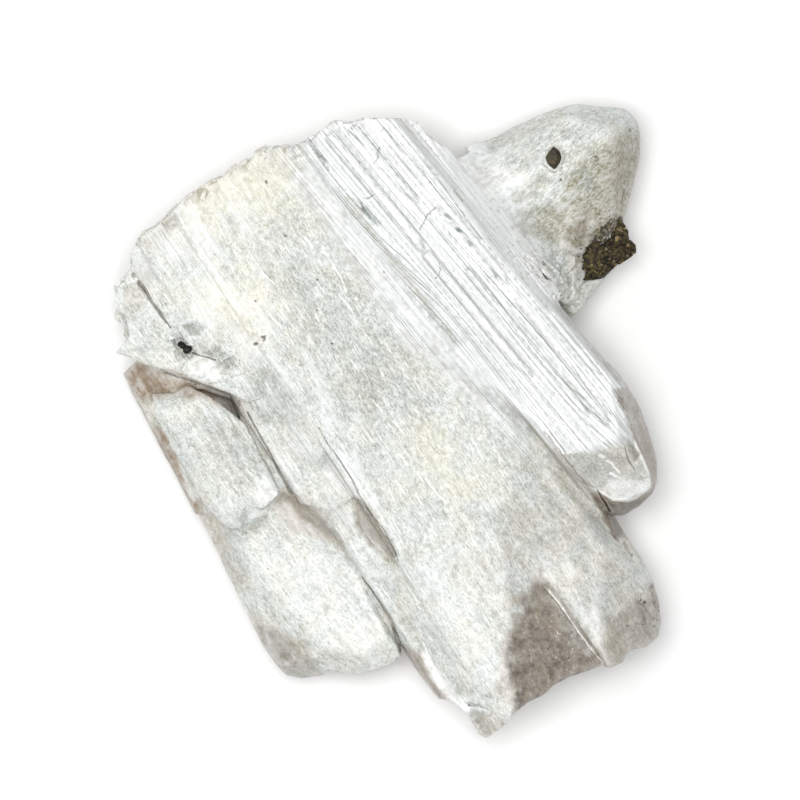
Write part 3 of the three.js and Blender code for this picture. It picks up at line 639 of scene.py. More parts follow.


# Where the danburite is clear, stained or whiter, and where shade and light are painted on it: how much, how
# soft its edge is in mm, and its plan outline.
patches = {
    "clear": [
        (0.55, 1.7, endWindow),
        (0.12, 1.6, [(4.3, -16.0), (8.1, -15.0), (12.6, -14.7), (14.4, -18.0), (14.0, -25), (10.4, -27.1),
                     (7.0, -26.3), (4.8, -24.6), (1.5, -24.6), (-1.1, -24.8), (1.9, -18.6)]),
        (0.12, 1.0, [(5.1, -25.6), (8.1, -25.6), (14.6, -24.3), (15.8, -30.0), (13.5, -32.4), (11.8, -32.1),
                     (8.6, -31.9), (6.5, -33.1), (5.6, -32.5), (5.0, -29.3)]),
        (0.26, 1.2, tipCorner),
        (0.18, 0.25, [(13.6, -12.5), (14.8, -14.1), (16.3, -15.1), (17.5, -15.5), (18.5, -16.0),
                      (19.2, -16.7), (20.0, -16.1), (20.6, -15.8), (21.2, -16.2), (21.3, -17.8),
                      (21.1, -19.7), (21.0, -21.3), (20.5, -22.2), (18.6, -22.5), (17.6, -22.1),
                      (16.1, -21.1), (15.5, -19.8), (14.5, -18.3), (13.6, -16.4)]),
        (0.35, 0.3, [(22.7, -10.9), (26, -12.2), (26, -24), (14, -26), (14.5, -20.0), (16.0, -21.2),
                     (17.5, -22.2), (18.6, -22.5), (20.5, -22.2), (21.1, -21.4), (21.4, -18.8),
                     (21.8, -16.4), (22.3, -14.4)]),
        (0.2, 0.4, [(-12.3, -22.5), (-10.3, -24.2), (-10.7, -27.2), (-10.7, -30.3), (-12.3, -31),
                    (-14, -29), (-13.6, -25.1)]),
        (0.35, 0.6, [(-24.7, -10.5), (-22.3, -13.8), (-21.3, -16.4), (-21.6, -21), (-25.9, -20),
                     (-27.9, -14.7)]),
        (0.3, 0.6, sideHollow),
        (0.12, 0.5, mainHollow),
    ],
    "brown": [
        # painted shade: the brownish recess under the broken ledge
        (1.0, 0.8, [(-22.0, 22.5), (-21.1, 22.4), (-17.7, 17.9), (-14.7, 14.0), (-12.5, 10.4), (-12.7, 9.2),
                    (-14.2, 10.7), (-16.0, 13.0), (-17.7, 15.0), (-20.4, 15.9), (-22.2, 16.7),
                    (-22.6, 19.0)]),
        # painted shade below the ledge's left end
        (0.45, 0.5, [(-22.5, 20.8), (-22.0, 19.0), (-21.8, 16.7), (-21.8, 13.2), (-22.2, 11.2),
                     (-23.2, 12.2), (-23.2, 15.8)]),
        (0.4, 1.0, [(-23.4, 4.0), (-21.8, 3.8), (-22.0, -1.9), (-23.4, -6.5), (-25.1, -7.6), (-26.0, -3.5),
                    (-25.5, 1.4)]),
        (0.55, 0.8, [(-14.6, -1.0), (-12.6, -2.0), (-11.9, -4.4), (-11.5, -7.0), (-11.5, -9.3),
                     (-12.7, -8.2), (-14.1, -5.3), (-14.6, -3.0)]),
        (0.8, 0.4, bladeCorner),
        (0.35, 0.5, [(-10.4, -32.2), (-9.9, -33.2), (-8.4, -34.0), (-6.7, -34.3), (-7.1, -36.5),
                     (-10.5, -37.0), (-11.2, -34.9)]),
        (0.35, 0.8, [(27.8, 7.0), (29.5, 7.4), (31.3, 7.6), (33.6, 7.0), (34.2, 4.7), (32.1, 4.1),
                     (29.8, 3.4), (28.0, 2.3), (27.3, 0.0), (26.4, 0.6), (26.6, 3.2), (27.0, 5.2)]),
        (0.3, 1.5, [(37.5, 12.3), (38.8, 11.4), (39.9, 9.4), (38.5, 7.1), (36.6, 5.0), (34.5, 4.3),
                    (32.6, 5.8), (32.8, 7.5), (34.7, 9.1), (36.3, 10.4)]),
        (0.5, 1.7, endWindow),
        (0.6, 1.2, [(0.6, -28.0), (2.1, -28.7), (2.4, -30.5), (1.2, -31.2), (-0.1, -30.2)]),
        (0.6, 0.9, [(-2.6, -29.9), (-1.1, -30.2), (-1.6, -31.8), (-2.9, -32.5), (-3.7, -31.5)]),
        (0.36, 1.2, tipCorner),
        (0.2, 0.8, [(4.2, 34.0), (8.0, 33.0), (7.9, 30.2), (5.9, 29.6), (3.6, 31.2)]),
        (0.2, 0.6, [(-21.8, 23.4), (-15.4, 28.2), (-10.5, 32.2), (-4.4, 34), (3.6, 34), (3.3, 32.2),
                    (-4.4, 31.4), (-10.2, 30.2), (-14.8, 26.2), (-19.1, 22.8)]),
        # painted shade: the steep end wall under the glassy tip
        (1.0, 0.2, [(15.4, -19.9), (16.0, -21.2), (17.5, -22.2), (18.6, -22.5), (20.5, -22.2), (22, -22),
                    (22, -25), (14, -25), (14.6, -19.0)]),
        # painted shade: the next two brown the glassy tip's right side facets
        (0.7, 0.3, [(21.8, -16.4), (23.2, -15.4), (26, -16), (26, -24), (21.0, -23), (20.5, -22.2),
                    (21.1, -21.4), (21.4, -18.8)]),
        (0.5, 0.4, [(22.7, -11.9), (26, -10), (26, -16.4), (23.9, -16.4), (23.2, -15.7), (22.6, -14.4)]),
        (0.35, 0.6, sideHollow),
        (0.35, 0.5, mainHollow),
        (0.15, 0.4, [(35.9, 7.1), (38.0, 7.4), (40, 6.0), (35.3, 3.8), (34.5, 4.5)]),
        # painted shadow along the striated crystal's overhanging left edge
        (0.3, 0.7, [(14.6, -10.5), (12.6, -14.7), (14.4, -18.0), (15.5, -18), (14.3, -13)]),
        # painted shade: the lower left crystal's left flank
        (1.0, 0.3, [(-21.8, 13.2), (-21.7, 11.7), (-22.1, 9.5), (-22.6, 7.0), (-23.2, 4.9), (-22.8, 2.1),
                    (-26.2, 2.3), (-26.6, 6.6), (-24.3, 14)]),
    ],
    "dark": [
        # painted shade: the cavity under the ledge's end
        (0.5, 0.5, [(-14.9, 13.8), (-13.7, 12.6), (-12.4, 10.5), (-12.8, 9.7), (-14.1, 10.8),
                    (-14.8, 12.4)]),
        (0.4, 0.6, [(28.9, 5.8), (31.2, 5.5), (31.2, 4.0), (28.8, 2.6), (27.4, 1.4), (27.2, 3.9)]),
        # painted shade: the steep end wall under the glassy tip
        (0.5, 0.25, [(15.4, -20.1), (16.0, -21.4), (17.5, -22.4), (18.6, -22.7), (20.5, -22.4), (22, -22),
                     (22, -25), (14, -25), (14.6, -19.2)]),
        # painted shade: the lower left crystal's left flank
        (0.3, 0.3, [(-22.3, 11.7), (-22.6, 9.5), (-23.1, 7.0), (-23.6, 4.9), (-26.2, 5.3), (-26.6, 6.6),
                    (-24.3, 12)]),
    ],
    "olive": [
        (1.2, 0.4, [(28.9, 3.0), (29.5, 4.6), (31.2, 5.6), (33.2, 5.6), (34.6, 4.9), (34.1, 3.4),
                    (32.1, 3.3), (30.2, 2.2), (28.6, 1.4)]),
        # the next two: olive stain over the stub's right part, partly painted shade where that side tilts
        # away from the light
        (0.5, 2.0, [(32.0, 14.0), (34.9, 13.7), (38.6, 11.6), (43.0, 9.4), (40.9, 4.8), (35.8, 2.5),
                    (30.3, 2.5), (26.0, 5.2), (25.2, 9.3), (28.8, 9.4), (31.0, 11.2)]),
        (0.8, 1.0, [(34.9, 13.7), (36.8, 13.5), (39.8, 13.2), (42.7, 12.2), (43.0, 9.4), (40.9, 5.8),
                    (35.8, 3.5), (33.3, 3.5), (31.5, 5.4), (30.7, 7.3), (30.8, 8.8), (33.1, 9.9),
                    (34.2, 11.2)]),
        (1.3, 0.6, [(31.5, 11.5), (32.9, 11.6), (33.0, 10.8), (32.0, 10.1), (30.7, 10.2), (30.8, 10.9)]),
        (0.95, 0.9, [(29.5, 10.3), (31.4, 9.7), (32.2, 8.5), (31.1, 7.6), (30.1, 8.5), (29.2, 9.6)]),
        (0.6, 0.45, stubHollow),
        (0.35, 0.9, stubDent),
        (0.7, 0.6, rockDent),
        (0.45, 0.25, [(9.3, 23.5), (10.0, 23.0), (10.6, 13.7), (11.0, 8.4), (11.3, 2.8), (10.7, 3.1),
                      (10.1, 10.7), (9.3, 20.3)]),
        (0.35, 0.3, [(-15.5, 27.8), (-14.7, 27.6), (-14.7, 24.8), (-14.5, 21.4), (-15.0, 21.8),
                     (-15.5, 24.7)]),
    ],
    "cream": [
        (0.4, 3.0, [(-3.0, 34.0), (3.8, 32.9), (6.7, 29.3), (3.9, 25.6), (-1.3, 27.6), (-5.9, 28.7),
                    (-7.4, 30.3)]),
        (0.32, 3.0, [(-6.2, 24.0), (-3.2, 19.7), (-3.6, 15.6), (-5.9, 14.9), (-9.3, 17.8), (-10.7, 22.3),
                     (-9.5, 25.0)]),
        (0.3, 3.0, [(0.8, -2.5), (4.6, -5.7), (4.7, -9.7), (2.7, -13.7), (0.1, -10.6), (-0.6, -5.6)]),
    ],
    "grey": [
        (0.45, 2.0, [(1.8, 11.2), (4.9, 7.9), (4.2, 3.8), (2.3, 1.8), (-1.4, 2.2), (-1.5, 6.1)]),
        (0.15, 2.0, [(-0.2, 28.3), (3.9, 25.6), (2.8, 21.7), (-0.1, 22.3), (-2.0, 25.5)]),
        (0.3, 3.0, [(-1.0, 20.0), (6.0, 17.0), (7.6, 4.0), (4.0, -1.0), (-4.6, 1.0), (-5.6, 10.0)]),
        (0.5, 1.0, [(-9.2, 14.4), (-6.6, 11.4), (-7.0, 7.1), (-8.7, 4.9), (-12.0, 7.1), (-11.6, 10.7)]),
        (0.5, 0.8, [(-14.7, 12.1), (-13.6, 10.3), (-13.6, 6.2), (-14.5, 2.8), (-15.8, 3.6), (-15.9, 7.6)]),
        (0.4, 1.0, [(-17.5, 10.7), (-14.7, 9.4), (-14.7, 4.9), (-15.1, 1.9), (-17.4, 2.7), (-19.1, 5.8)]),
        (0.2, 0.9, [(5.3, -14.7), (9.9, -17.4), (10.5, -18.9), (14.0, -21.6), (14.5, -25.9), (8.5, -22.0),
                    (3.0, -18.4)]),
        (0.75, 0.5, [(-15.3, 20.1), (-14.2, 19.9), (-14.2, 18.6), (-13.3, 17.5), (-14.4, 17.1),
                     (-15.7, 18.3)]),
        (0.7, 0.6, ledgeScar),
        (0.6, 0.3, ledgeDent),
        (0.6, 0.3, tipDent),
    ],
    "dust": [
        (0.5, 0.7, [(28.9, 6.6), (30.6, 7.2), (33.0, 7.0), (33.2, 5.2), (30.6, 3.6), (28.5, 1.9),
                    (26.6, 0.3), (26.6, 4.0)]),
        (1.3, 0.3, [(28.9, 3.3), (29.9, 4.3), (31.3, 4.9), (33.0, 5.2), (34.4, 4.6), (34.1, 3.6),
                    (32.1, 3.5), (30.2, 2.4), (28.6, 1.6)]),
        (0.5, 0.4, bladeCorner),
        (0.4, 0.6, [(12.2, -31.6), (16, -30.5), (16, -35.4), (12.4, -36.5), (10.4, -34.4)]),
        (0.3, 1.2, [(4.4, -27.6), (4.9, -30.5), (5.0, -32.3), (5.5, -36.1), (-3, -36), (-2.4, -29.7)]),
        (0.45, 0.5, [(22.4, -12.0), (25, -11), (25, -22), (21.4, -22), (22.0, -16.4)]),
        (0.4, 0.7, [(-22.0, 22.5), (-17.7, 17.9), (-14.7, 14.0), (-12.4, 10.4), (-14.2, 10.7),
                    (-17.7, 15.0), (-23.0, 15.9)]),
        (0.25, 1.5, [(34.9, 13.7), (42.7, 12.2), (43.0, 9.4), (36, 2), (30.7, 7.3)]),
        (0.3, 0.6, [(-13.0, 20), (-10.4, 18), (-9.5, 13.5), (-12.4, 14.0), (-13.5, 17.0)]),
    ],
    "white": [
        # painted light: whiter on the slope left of the striated face, which the lamps leave greyer
        (0.6, 0.8, [(6.6, 28), (8.3, 27.5), (8.8, 18), (9.4, 9), (10.8, 2.5), (13.2, -4), (14.2, -8.5),
                    (13.3, -8.5), (10.9, -3), (8.8, 3.5), (7.5, 11), (7.0, 20)]),
        # painted light: whiter on the slope between the striated crystal and the stub
        (0.5, 1.3, [(19.8, 22), (22.2, 22), (25.2, 16), (25.2, 8), (23.4, 1), (21.6, 1), (20.4, 8)]),
        (1.0, 0.35, [(-10.8, -23.5), (-10.3, -23.8), (-10.4, -27.2), (-10.2, -30.0), (-9.8, -32.0),
                     (-10.6, -32.2), (-11.2, -29.4), (-11.3, -26.3)]),
        (0.15, 2.0, [(-3.4, -13.0), (1.1, -17.2), (0.1, -21.1), (-2.7, -27.1), (-5.9, -33.0), (-9.1, -30.9),
                     (-9.3, -24.2), (-8.0, -17.1)]),
        (0.25, 2.2, [(-21.0, -4.8), (-15.5, -6.4), (-13.1, -11.9), (-12.2, -18.4), (-12.7, -22.0),
                     (-16.6, -22.3), (-19.2, -19.1), (-20.0, -13.3)]),
        (0.3, 0.6, [(-19.5, 1.4), (-17.0, 1.1), (-14.6, 2.2), (-14.4, -0.1), (-16.2, -1.1), (-18.8, -1.0)]),
        # painted light: whiter on the slope between the striated crystal and the stub, further up
        (0.6, 1.6, [(19.5, 33), (24, 33), (26, 19), (27, 14), (24, 7), (21.0, 8), (20.6, 14)]),
        # painted highlight on the glassy tip's rounded end
        (0.45, 0.4, [(17.2, -19.2), (18.4, -19.8), (19.7, -20.9), (20.9, -21.5), (20.6, -22.1),
                     (19.7, -22.4), (18.7, -22.4), (17.6, -22.1), (16.7, -21.4), (16.2, -20.7),
                     (16.1, -19.8)]),
        (0.3, 0.4, [(7.5, -24.1), (8.3, -24.3), (8.5, -25.5), (7.7, -26.3), (6.9, -25.6)]),
        (0.25, 0.4, [(4.3, -23.3), (6.0, -24.3), (5.7, -25.2), (4.1, -24.3)]),
        (0.6, 0.5, [(-14.6, 17.0), (-13.0, 16.4), (-12.4, 14.6), (-13.6, 14.2), (-15.4, 16.0)]),
        (0.5, 0.3, [(7.9, -29.6), (8.3, -30.1), (7.3, -33.0), (6.2, -33.6), (6.7, -32.0)]),
    ],
}


danburitePaint = {
    "wander": (1.6, 0.7),  # mm over which a patch's edge wanders, and how far, as a share of its softness
    # painted shade: the brown on the crystals' upright sides
    "shadedSides": (0.5, 0.35, 3.1),  # how brown the crystals' sides are, how much that varies, over how many mm
    "grooves": (0.25, 0.2, 0.5),  # how dark at least, how much more for each mm of depth, and at most
    "pits": 0.8,  # how dark
    "branches": (0.6, 0.2, 0.5),  # how dark, and how many mm they wander, over how many mm
    "seams": 0.8,  # how white
    # the same depth also sets where the painted shade in low places is full
    "wear": 0.035,  # mm by which an edge stands proud, or a hollow lies deep, where its colour is full
}


def growthLinesShown(here, normals):  # their field at each point, and how clearly they show there
    x, y, _ = here.T
    layered = crystals["striated"]
    across, along, _ = alongCrystal(here, layered["turn"] * smooth(2, 3, x)).T
    toFace, _ = distanceTo(layered["outline"] + layered["outline"][:1], x, y)
    face = inside(layered["outline"], x, y, 0.01) > 0.5
    (endX, endY), slope, wander = growthLines["end"]
    tipEdge = endY + slope * (x - endX) + wander * noise(here / 0.9, 77)
    facing = smooth(0.1, 0.5, normals[:, 2])
    patchy = smooth(-0.3, 0.5, noise(here / [1.4, 5, 3], 79))
    start, gone = growthLines["fadingLeft"]
    faint = smooth(gone, start, toFace) * smooth(-16, -8, y) * (x < 15)
    start, gone = growthLines["fadingRight"]
    right = growthLines["onTheRight"] * smooth(gone, start, toFace) * (x > 15) * smooth(2, 6, y)
    faint = np.maximum(faint, right)
    patchy = np.maximum(patchy, growthLines["unbroken"] * faint)
    faint = np.maximum(faint, growthLines["faint"] * inside(faintLines, x, y, 2))
    shown = np.where(face, facing * smooth(-0.3, 0.3, y - tipEdge), faint * patchy * facing)
    return growthField(across, along), shown


def paint(piece):
    points = readVertices(piece)
    normals = readVertices(piece, "normal")
    x, y, z = planPosition(points)
    here = np.stack([x, y, z], 1)
    size, wander = danburitePaint["wander"]
    wobbleX, wobbleY = fractal(here / size, 2, 71), fractal(here / size, 2, 73)
    upward = smooth(-0.3, 0.1, normals[:, 2])
    values = {}
    for name, outlines in patches.items():
        values[name] = np.zeros(len(x))
        for amount, soft, outline in outlines:
            there = inside(outline, x + wander * soft * wobbleX, y + wander * soft * wobbleY, soft)
            values[name] = np.maximum(values[name], amount * there * upward)

    # painted shade: the upright sides are browner, but not on the striated crystal
    proud = proudness(piece, points, normals, 2)
    share, variation, size = danburitePaint["shadedSides"]
    shadedSides = smooth(0.45, 0.0, normals[:, 2]) * (share + variation * noise(here / size, 75))
    shadedSides *= 1 - values["white"]
    shadedSides *= 1 - inside(crystals["striated"]["outline"], x, y, 0.3) * smooth(-2, 1, y) * smooth(26, 24, y)
    values["brown"] = np.maximum(values["brown"], np.clip(shadedSides, 0, 1))

    # darker in the grooves and pits, the deeper grooves more so; iron branches; and white seams, some of them
    # painted highlights
    facing = normals[:, 2] > -0.2
    least, deeper, most = danburitePaint["grooves"]
    for groove in grooves:
        darkening = min(most, least + deeper * groove[-1]) * smooth(1.25, 0.5, fromGroove(groove, here)) * facing
        values["dark"] = np.maximum(values["dark"], darkening)
    for pit in pits:
        darkening = danburitePaint["pits"] * smooth(1.1, 0.4, fromPit(pit, here)) * facing
        values["dark"] = np.maximum(values["dark"], darkening)
    share, wander, size = danburitePaint["branches"]
    wanderingX, wanderingY = x + wander * noise(here / size, 85), y + wander * noise(here / size, 87)
    for line in branches:
        away, _ = distanceTo(line, wanderingX, wanderingY)
        values["dark"] = np.maximum(values["dark"], share * smooth(0.16, 0.06, away) * facing)
    for seam in seams:
        away, ends = fromSeam(seam, here)
        bright = danburitePaint["seams"] * smooth(1.4, 0.3, away) * ends * facing
        values["white"] = np.maximum(values["white"], bright)

    # each point's place along its own crystal, for the patterns that follow its length
    grain = here.copy()
    for name, crystal in crystals.items():
        part = inside(crystal["outline"], x - 1.2 * (name == "stub"), y, 0.01) > 0.5
        if name == "striated":
            part |= (x > 21) & (x < 24.4) & (y > -3)  # the slope down to the stub
        grain[part] = alongCrystal(here[part], crystal["turn"])
    growth, striated = growthLinesShown(here, normals)
    for name, amount in values.items():
        writeAttribute(piece, name, amount)
    writeAttribute(piece, "grain", grain)
    writeAttribute(piece, "growth", growth)
    writeAttribute(piece, "striated", striated)
    writeAttribute(piece, "worn", smooth(0.0, danburitePaint["wear"], proud))
    # painted shade: how deep each point lies, for the shade painted in low places
    writeAttribute(piece, "hollow", smooth(0.0, danburitePaint["wear"], -proud))


danburiteFinish = {
    "ior": 1.63,
    "subsurface": (0.12, (1.0, 1.0, 0.95), 0.8),  # share, reach of red, green and blue, and depth in mm
    "absorbs": ("#d3c0a4", 40.0),  # the clear crystal's body colour and density
    "milk": ("#eaefed", "#eeede3"),  # cooler and warmer
    "greyMilk": "#868a80",
    "streaks": "#fdfefa",
    # the striated face's pure white is partly a painted sheen
    "layers": ("#ffffff", "#828d87"),  # the striated face, and its greyer layers and lines
    "striatedGloss": -0.2,  # added to the roughness of the striated face
    "bumps": (0.07, 0.03),  # mm: etching and frosting
    # patterns that follow each crystal's length: how many to 1 mm across, along and up, and their detail
    "grainPatterns": {
        "etching": ((5.2, 2.1, 4.4), 4.0),  # the etched surface, 0.2 mm and finer
        "mottle": ((1.5, 0.8, 1.4), 4.0),  # uneven milk just under it, 0.8 mm
        "streaks": ((4.6, 0.34, 2.5), 3.0),  # short bright streaks, 0.2 mm by 3 mm
        "scratches": ((5.0, 0.8, 3.0), 4.0),  # short fine dark lines, 0.1 mm by 1 mm
        "veils": ((0.36, 0.2, 0.36), 3.0),  # cloudy bands inside the milk, 2.8 mm by 5 mm
        "specks": ((3.0, 1.9, 2.8), 4.0),  # bruises in the clear zones, 0.4 mm and finer
        "bands": ((0.5, 0.06, 0.4), 3.0),  # where the striated face is greyer, 2 mm by 16 mm
    },
    # patterns without a direction: how many to 1 m, detail and roughness
    "evenPatterns": {
        "sugar": (5000.0, 2.0, 0.6),  # fine frosting, 0.2 mm
        "crumbs": (2400.0, 4.0, 0.6),  # dust, 0.4 mm
        "blotches": (700.0, 6.0, 0.7),  # 1.4 mm and finer, for the stains
        "tints": (260.0, 3.0, 0.55),  # 4 mm patches of warmer and cooler milk
    },
    "dusting": 0.2,  # how much more of the crumbs shows where dust is painted
    # fields made from a pattern or a painted one: where it starts and ends to count, and the least and most
    "shown": {
        "greyVeils": ("veils", 0.4, 0.68, 0.0, 0.3),
        "greyMottle": ("mottle", 0.4, 0.66, 0.0, 0.35),
        "greyEtching": ("etching", 0.41, 0.62, 0.0, 0.85),
        "greyScratches": ("scratches", 0.56, 0.68, 0.0, 0.6),
        "greySugar": ("sugar", 0.42, 0.64, 0.0, 0.45),
        "brightStreaks": ("streaks", 0.58, 0.68, 0.0, 0.8),
        "warmth": ("tints", 0.4, 0.6, 0.0, 1.0),
        "greyBands": ("bands", 0.48, 0.62, 0.0, 0.4),
        "layersShow": ("blotches", 0.4, 0.58, 0.0, 1.0),
        "blotchy": ("blotches", 0.34, 0.62, 0.55, 1.0),
        "grainy": ("etching", 0.38, 0.62, 0.3, 1.0),
        "wornEdges": ("worn", 0.0, 1.0, 0.0, 0.25),
        "shadeInLowPlaces": ("hollow", 0.0, 1.0, 0.0, 0.28),
        "ironFilm": ("blotches", 0.5, 0.36, 0.0, 0.9),
        "clouds": ("mottle", 0.5, 0.66, 0.0, 0.9),
        "bruises": ("specks", 0.56, 0.74, 0.0, 1.3),
        "clustered": ("blotches", 0.44, 0.6, 0.0, 1.0),
        "darkCrumbs": ("dusty", 0.67, 0.77, 0.0, 0.88),
        "unfrosted": ("blotches", 0.66, 0.4, 0.6, 1.0),
        "roughness": ("clear", 0.0, 0.6, 0.48, 0.16),
        "bumpiness": ("clear", 0.0, 0.5, 0.6, 0.15),
    },
    "greyTotal": 1.9,  # the sum of the grey fields at which the milk is as grey as it gets
    "lessGrey": {"white": -0.6, "clear": -0.3},  # what these painted fields add to the grey
    # the striated face's layers: how many to each growth line, their offset, greyness and edge darkness
    "striae": ((1.0, 0.0, 0.7, 0.95), (2.6, 0.3, 0.45, 0.75), (4.7, 0.7, 0.2, 0.3)),
    "greyLayers": (0.6, 0.95),  # the random levels from which a layer is a little grey, and fully
    "layerEdge": (0.08, 0.02),  # how far from a layer's edge its dark line starts, and is full
    # what lies over the milk, the lowest first: fields whose product is its share, and its colour
    "coats": {
        "cream": (["cream"], "#f1eacd"),
        "clear": (["clear"], "#c3b29d"),
        "olive": (["olive", "grainy"], "#787043"),
        # brown and dark also carry painted shade: on the sides, under the ledge, along the striated crystal's
        # edge, and on its tip's end and right side
        "brown": (["brown", "blotchy"], "#866c4e"),
        "dark": (["dark"], "#33291b"),
        # white also carries painted light on two slopes, and painted highlights on the glassy tip
        "white": (["white", "blotchy"], "#fdfefc"),
        "wornEdges": (["wornEdges"], "#fdfdfb"),
        # painted shade in the low places of the surface
        "shadeInLowPlaces": (["shadeInLowPlaces"], "#7a705d"),
        "ironFilm": (["ironFilm", "clear"], "#5d4f3f"),
        "clouds": (["clouds", "clear"], "#ddd6cc"),
        "bruises": (["bruises", "clustered", "clear"], "#fbfaf5"),
        "darkCrumbs": (["darkCrumbs"], "#2e2313"),
    },
}


def danburiteMaterial(finish):  # a natural, faintly etched glassy mineral: milky with veils, clear in places
    material = bpy.data.materials.new("milkyDanburite")
    material.use_nodes = True
    tree = material.node_tree
    shader = tree.nodes["Principled BSDF"]
    shader.inputs["IOR"].default_value = finish["ior"]
    share, reach, depth = finish["subsurface"]
    shader.inputs["Subsurface Weight"].default_value = share
    shader.inputs["Subsurface Radius"].default_value = reach
    shader.inputs["Subsurface Scale"].default_value = depth * mm

    # every value that varies over the surface: painted on the mesh, patterns, and what is shown of them
    fields = {}
    for name in (*patches, "growth", "striated", "worn", "hollow"):
        fields[name] = addNode(tree, "Attribute", {"attribute_name": name}).outputs["Fac"]
    grain = addNode(tree, "Attribute", {"attribute_name": "grain"}).outputs["Vector"]
    place = addNode(tree, "TexCoord").outputs["Object"]
    for name, (scale, detail) in finish["grainPatterns"].items():
        stretched = addNode(tree, "Mapping", {"Scale": scale}, Vector=grain).outputs[0]
        fields[name] = addNode(tree, "TexNoise", {"Scale": 1.0, "Detail": detail, "Roughness": 0.7},
                               Vector=stretched).outputs["Fac"]
    for name, (scale, detail, roughness) in finish["evenPatterns"].items():
        fields[name] = addNode(tree, "TexNoise", {"Scale": scale, "Detail": detail, "Roughness": roughness},
                               Vector=place).outputs["Fac"]
    fields["dusty"] = addNode(tree, "Math", {"operation": "MULTIPLY_ADD", "_1": finish["dusting"]},
                              _0=fields["dust"], _2=fields["crumbs"]).outputs[0]
    for name, (field, low, high, least, most) in finish["shown"].items():
        limits = {"From_Min": low, "From_Max": high, "To_Min": least, "To_Max": most}
        fields[name] = addNode(tree, "MapRange", limits, Value=fields[field]).outputs[0]

    # how grey the milk is: veils, etching and frosting together, and less of them where it is clear
    greyness = fields["grey"]
    for name in ("greyVeils", "greyMottle", "greyEtching", "greyScratches", "greySugar"):
        greyness = addNode(tree, "Math", {"operation": "ADD"}, _0=greyness, _1=fields[name]).outputs[0]
    for name, amount in finish["lessGrey"].items():
        greyness = addNode(tree, "Math", {"operation": "MULTIPLY_ADD", "_1": amount}, _0=fields[name],
                           _2=greyness).outputs[0]
    greyness = addNode(tree, "MapRange", {"From_Max": finish["greyTotal"]}, Value=greyness).outputs[0]
    cool, warm = (linear(c) for c in finish["milk"])
    colour = addNode(tree, "Mix", {"data_type": "RGBA", "_6": cool, "_7": warm},
                     _0=fields["warmth"]).outputs[2]
    for share, hexColour in ((greyness, finish["greyMilk"]), (fields["brightStreaks"], finish["streaks"])):
        colour = addNode(tree, "Mix", {"data_type": "RGBA", "_7": linear(hexColour)},
                         _0=share, _6=colour).outputs[2]

    # the striated face: white layers, their pure white partly a painted sheen, some of them greyer, with a
    # fine dark line where each one ends
    layers = fields["greyBands"]
    (low, high), (start, full) = finish["greyLayers"], finish["layerEdge"]
    for count, offset, greyer, darkness in finish["striae"]:
        field = addNode(tree, "Math", {"operation": "MULTIPLY_ADD", "_1": count, "_2": offset},
                        _0=fields["growth"]).outputs[0]
        number = addNode(tree, "Math", {"operation": "FLOOR"}, _0=field).outputs[0]
        level = addNode(tree, "TexWhiteNoise", {"noise_dimensions": "1D"}, W=number).outputs["Value"]
        level = addNode(tree, "MapRange", {"From_Min": low, "From_Max": high, "To_Max": greyer},
                        Value=level).outputs[0]
        level = addNode(tree, "Math", {"operation": "MULTIPLY"}, _0=level,
                        _1=fields["layersShow"]).outputs[0]
        part = addNode(tree, "Math", {"operation": "FRACT"}, _0=field).outputs[0]
        fromEdge = addNode(tree, "Math", {"operation": "PINGPONG", "_1": 0.5}, _0=part).outputs[0]
        line = addNode(tree, "MapRange", {"From_Min": start * count, "From_Max": full * count,
                                          "To_Max": darkness}, Value=fromEdge).outputs[0]
        for share in (level, line):
            layers = addNode(tree, "Math", {"operation": "MAXIMUM"}, _0=layers, _1=share).outputs[0]
    white, greyer = (linear(c) for c in finish["layers"])
    layered = addNode(tree, "Mix", {"data_type": "RGBA", "_6": white, "_7": greyer}, _0=layers).outputs[2]
    colour = addNode(tree, "Mix", {"data_type": "RGBA"}, _0=fields["striated"], _6=colour,
                     _7=layered).outputs[2]

    shares = {}
    for name, (factors, hexColour) in finish["coats"].items():
        share = fields[factors[0]]
        for factor in factors[1:]:
            share = addNode(tree, "Math", {"operation": "MULTIPLY"}, _0=share,
                            _1=fields[factor]).outputs[0]
        colour = addNode(tree, "Mix", {"data_type": "RGBA", "_7": linear(hexColour)}, _0=share,
                         _6=colour).outputs[2]
        shares[name] = share
    tree.links.new(colour, shader.inputs["Base Color"])

    # clear where it is painted so, a little less where frosting lies on it
    seeThrough = addNode(tree, "Math", {"operation": "MULTIPLY"}, _0=fields["clear"],
                         _1=fields["unfrosted"]).outputs[0]
    for hiding in (shares["bruises"], fields["white"]):
        seeThrough = addNode(tree, "Math", {"operation": "SUBTRACT", "use_clamp": True}, _0=seeThrough,
                             _1=hiding).outputs[0]
    tree.links.new(seeThrough, shader.inputs["Transmission Weight"])
    glossier = addNode(tree, "Math", {"operation": "MULTIPLY_ADD", "_1": finish["striatedGloss"]},
                       _0=fields["striated"], _2=fields["roughness"]).outputs[0]
    tree.links.new(glossier, shader.inputs["Roughness"])

    etching, frosting = finish["bumps"]
    bump = addNode(tree, "Bump", {"Distance": etching * mm}, Height=fields["etching"],
                   Strength=fields["bumpiness"])
    bump = addNode(tree, "Bump", {"Distance": frosting * mm}, Height=fields["sugar"],
                   Strength=fields["bumpiness"], Normal=bump.outputs[0])
    tree.links.new(bump.outputs[0], shader.inputs["Normal"])

    hexColour, density = finish["absorbs"]
    absorb = addNode(tree, "VolumeAbsorption", {"Color": linear(hexColour), "Density": density})
    tree.links.new(absorb.outputs[0], tree.nodes["Material Output"].inputs["Volume"])
    return material


danburite = makeDanburite()
paint(danburite)
danburite.data.materials.clear()
danburite.data.materials.append(danburiteMaterial(danburiteFinish))
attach(danburite, "root")
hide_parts("danburite_crystals")
print("danburite finished")


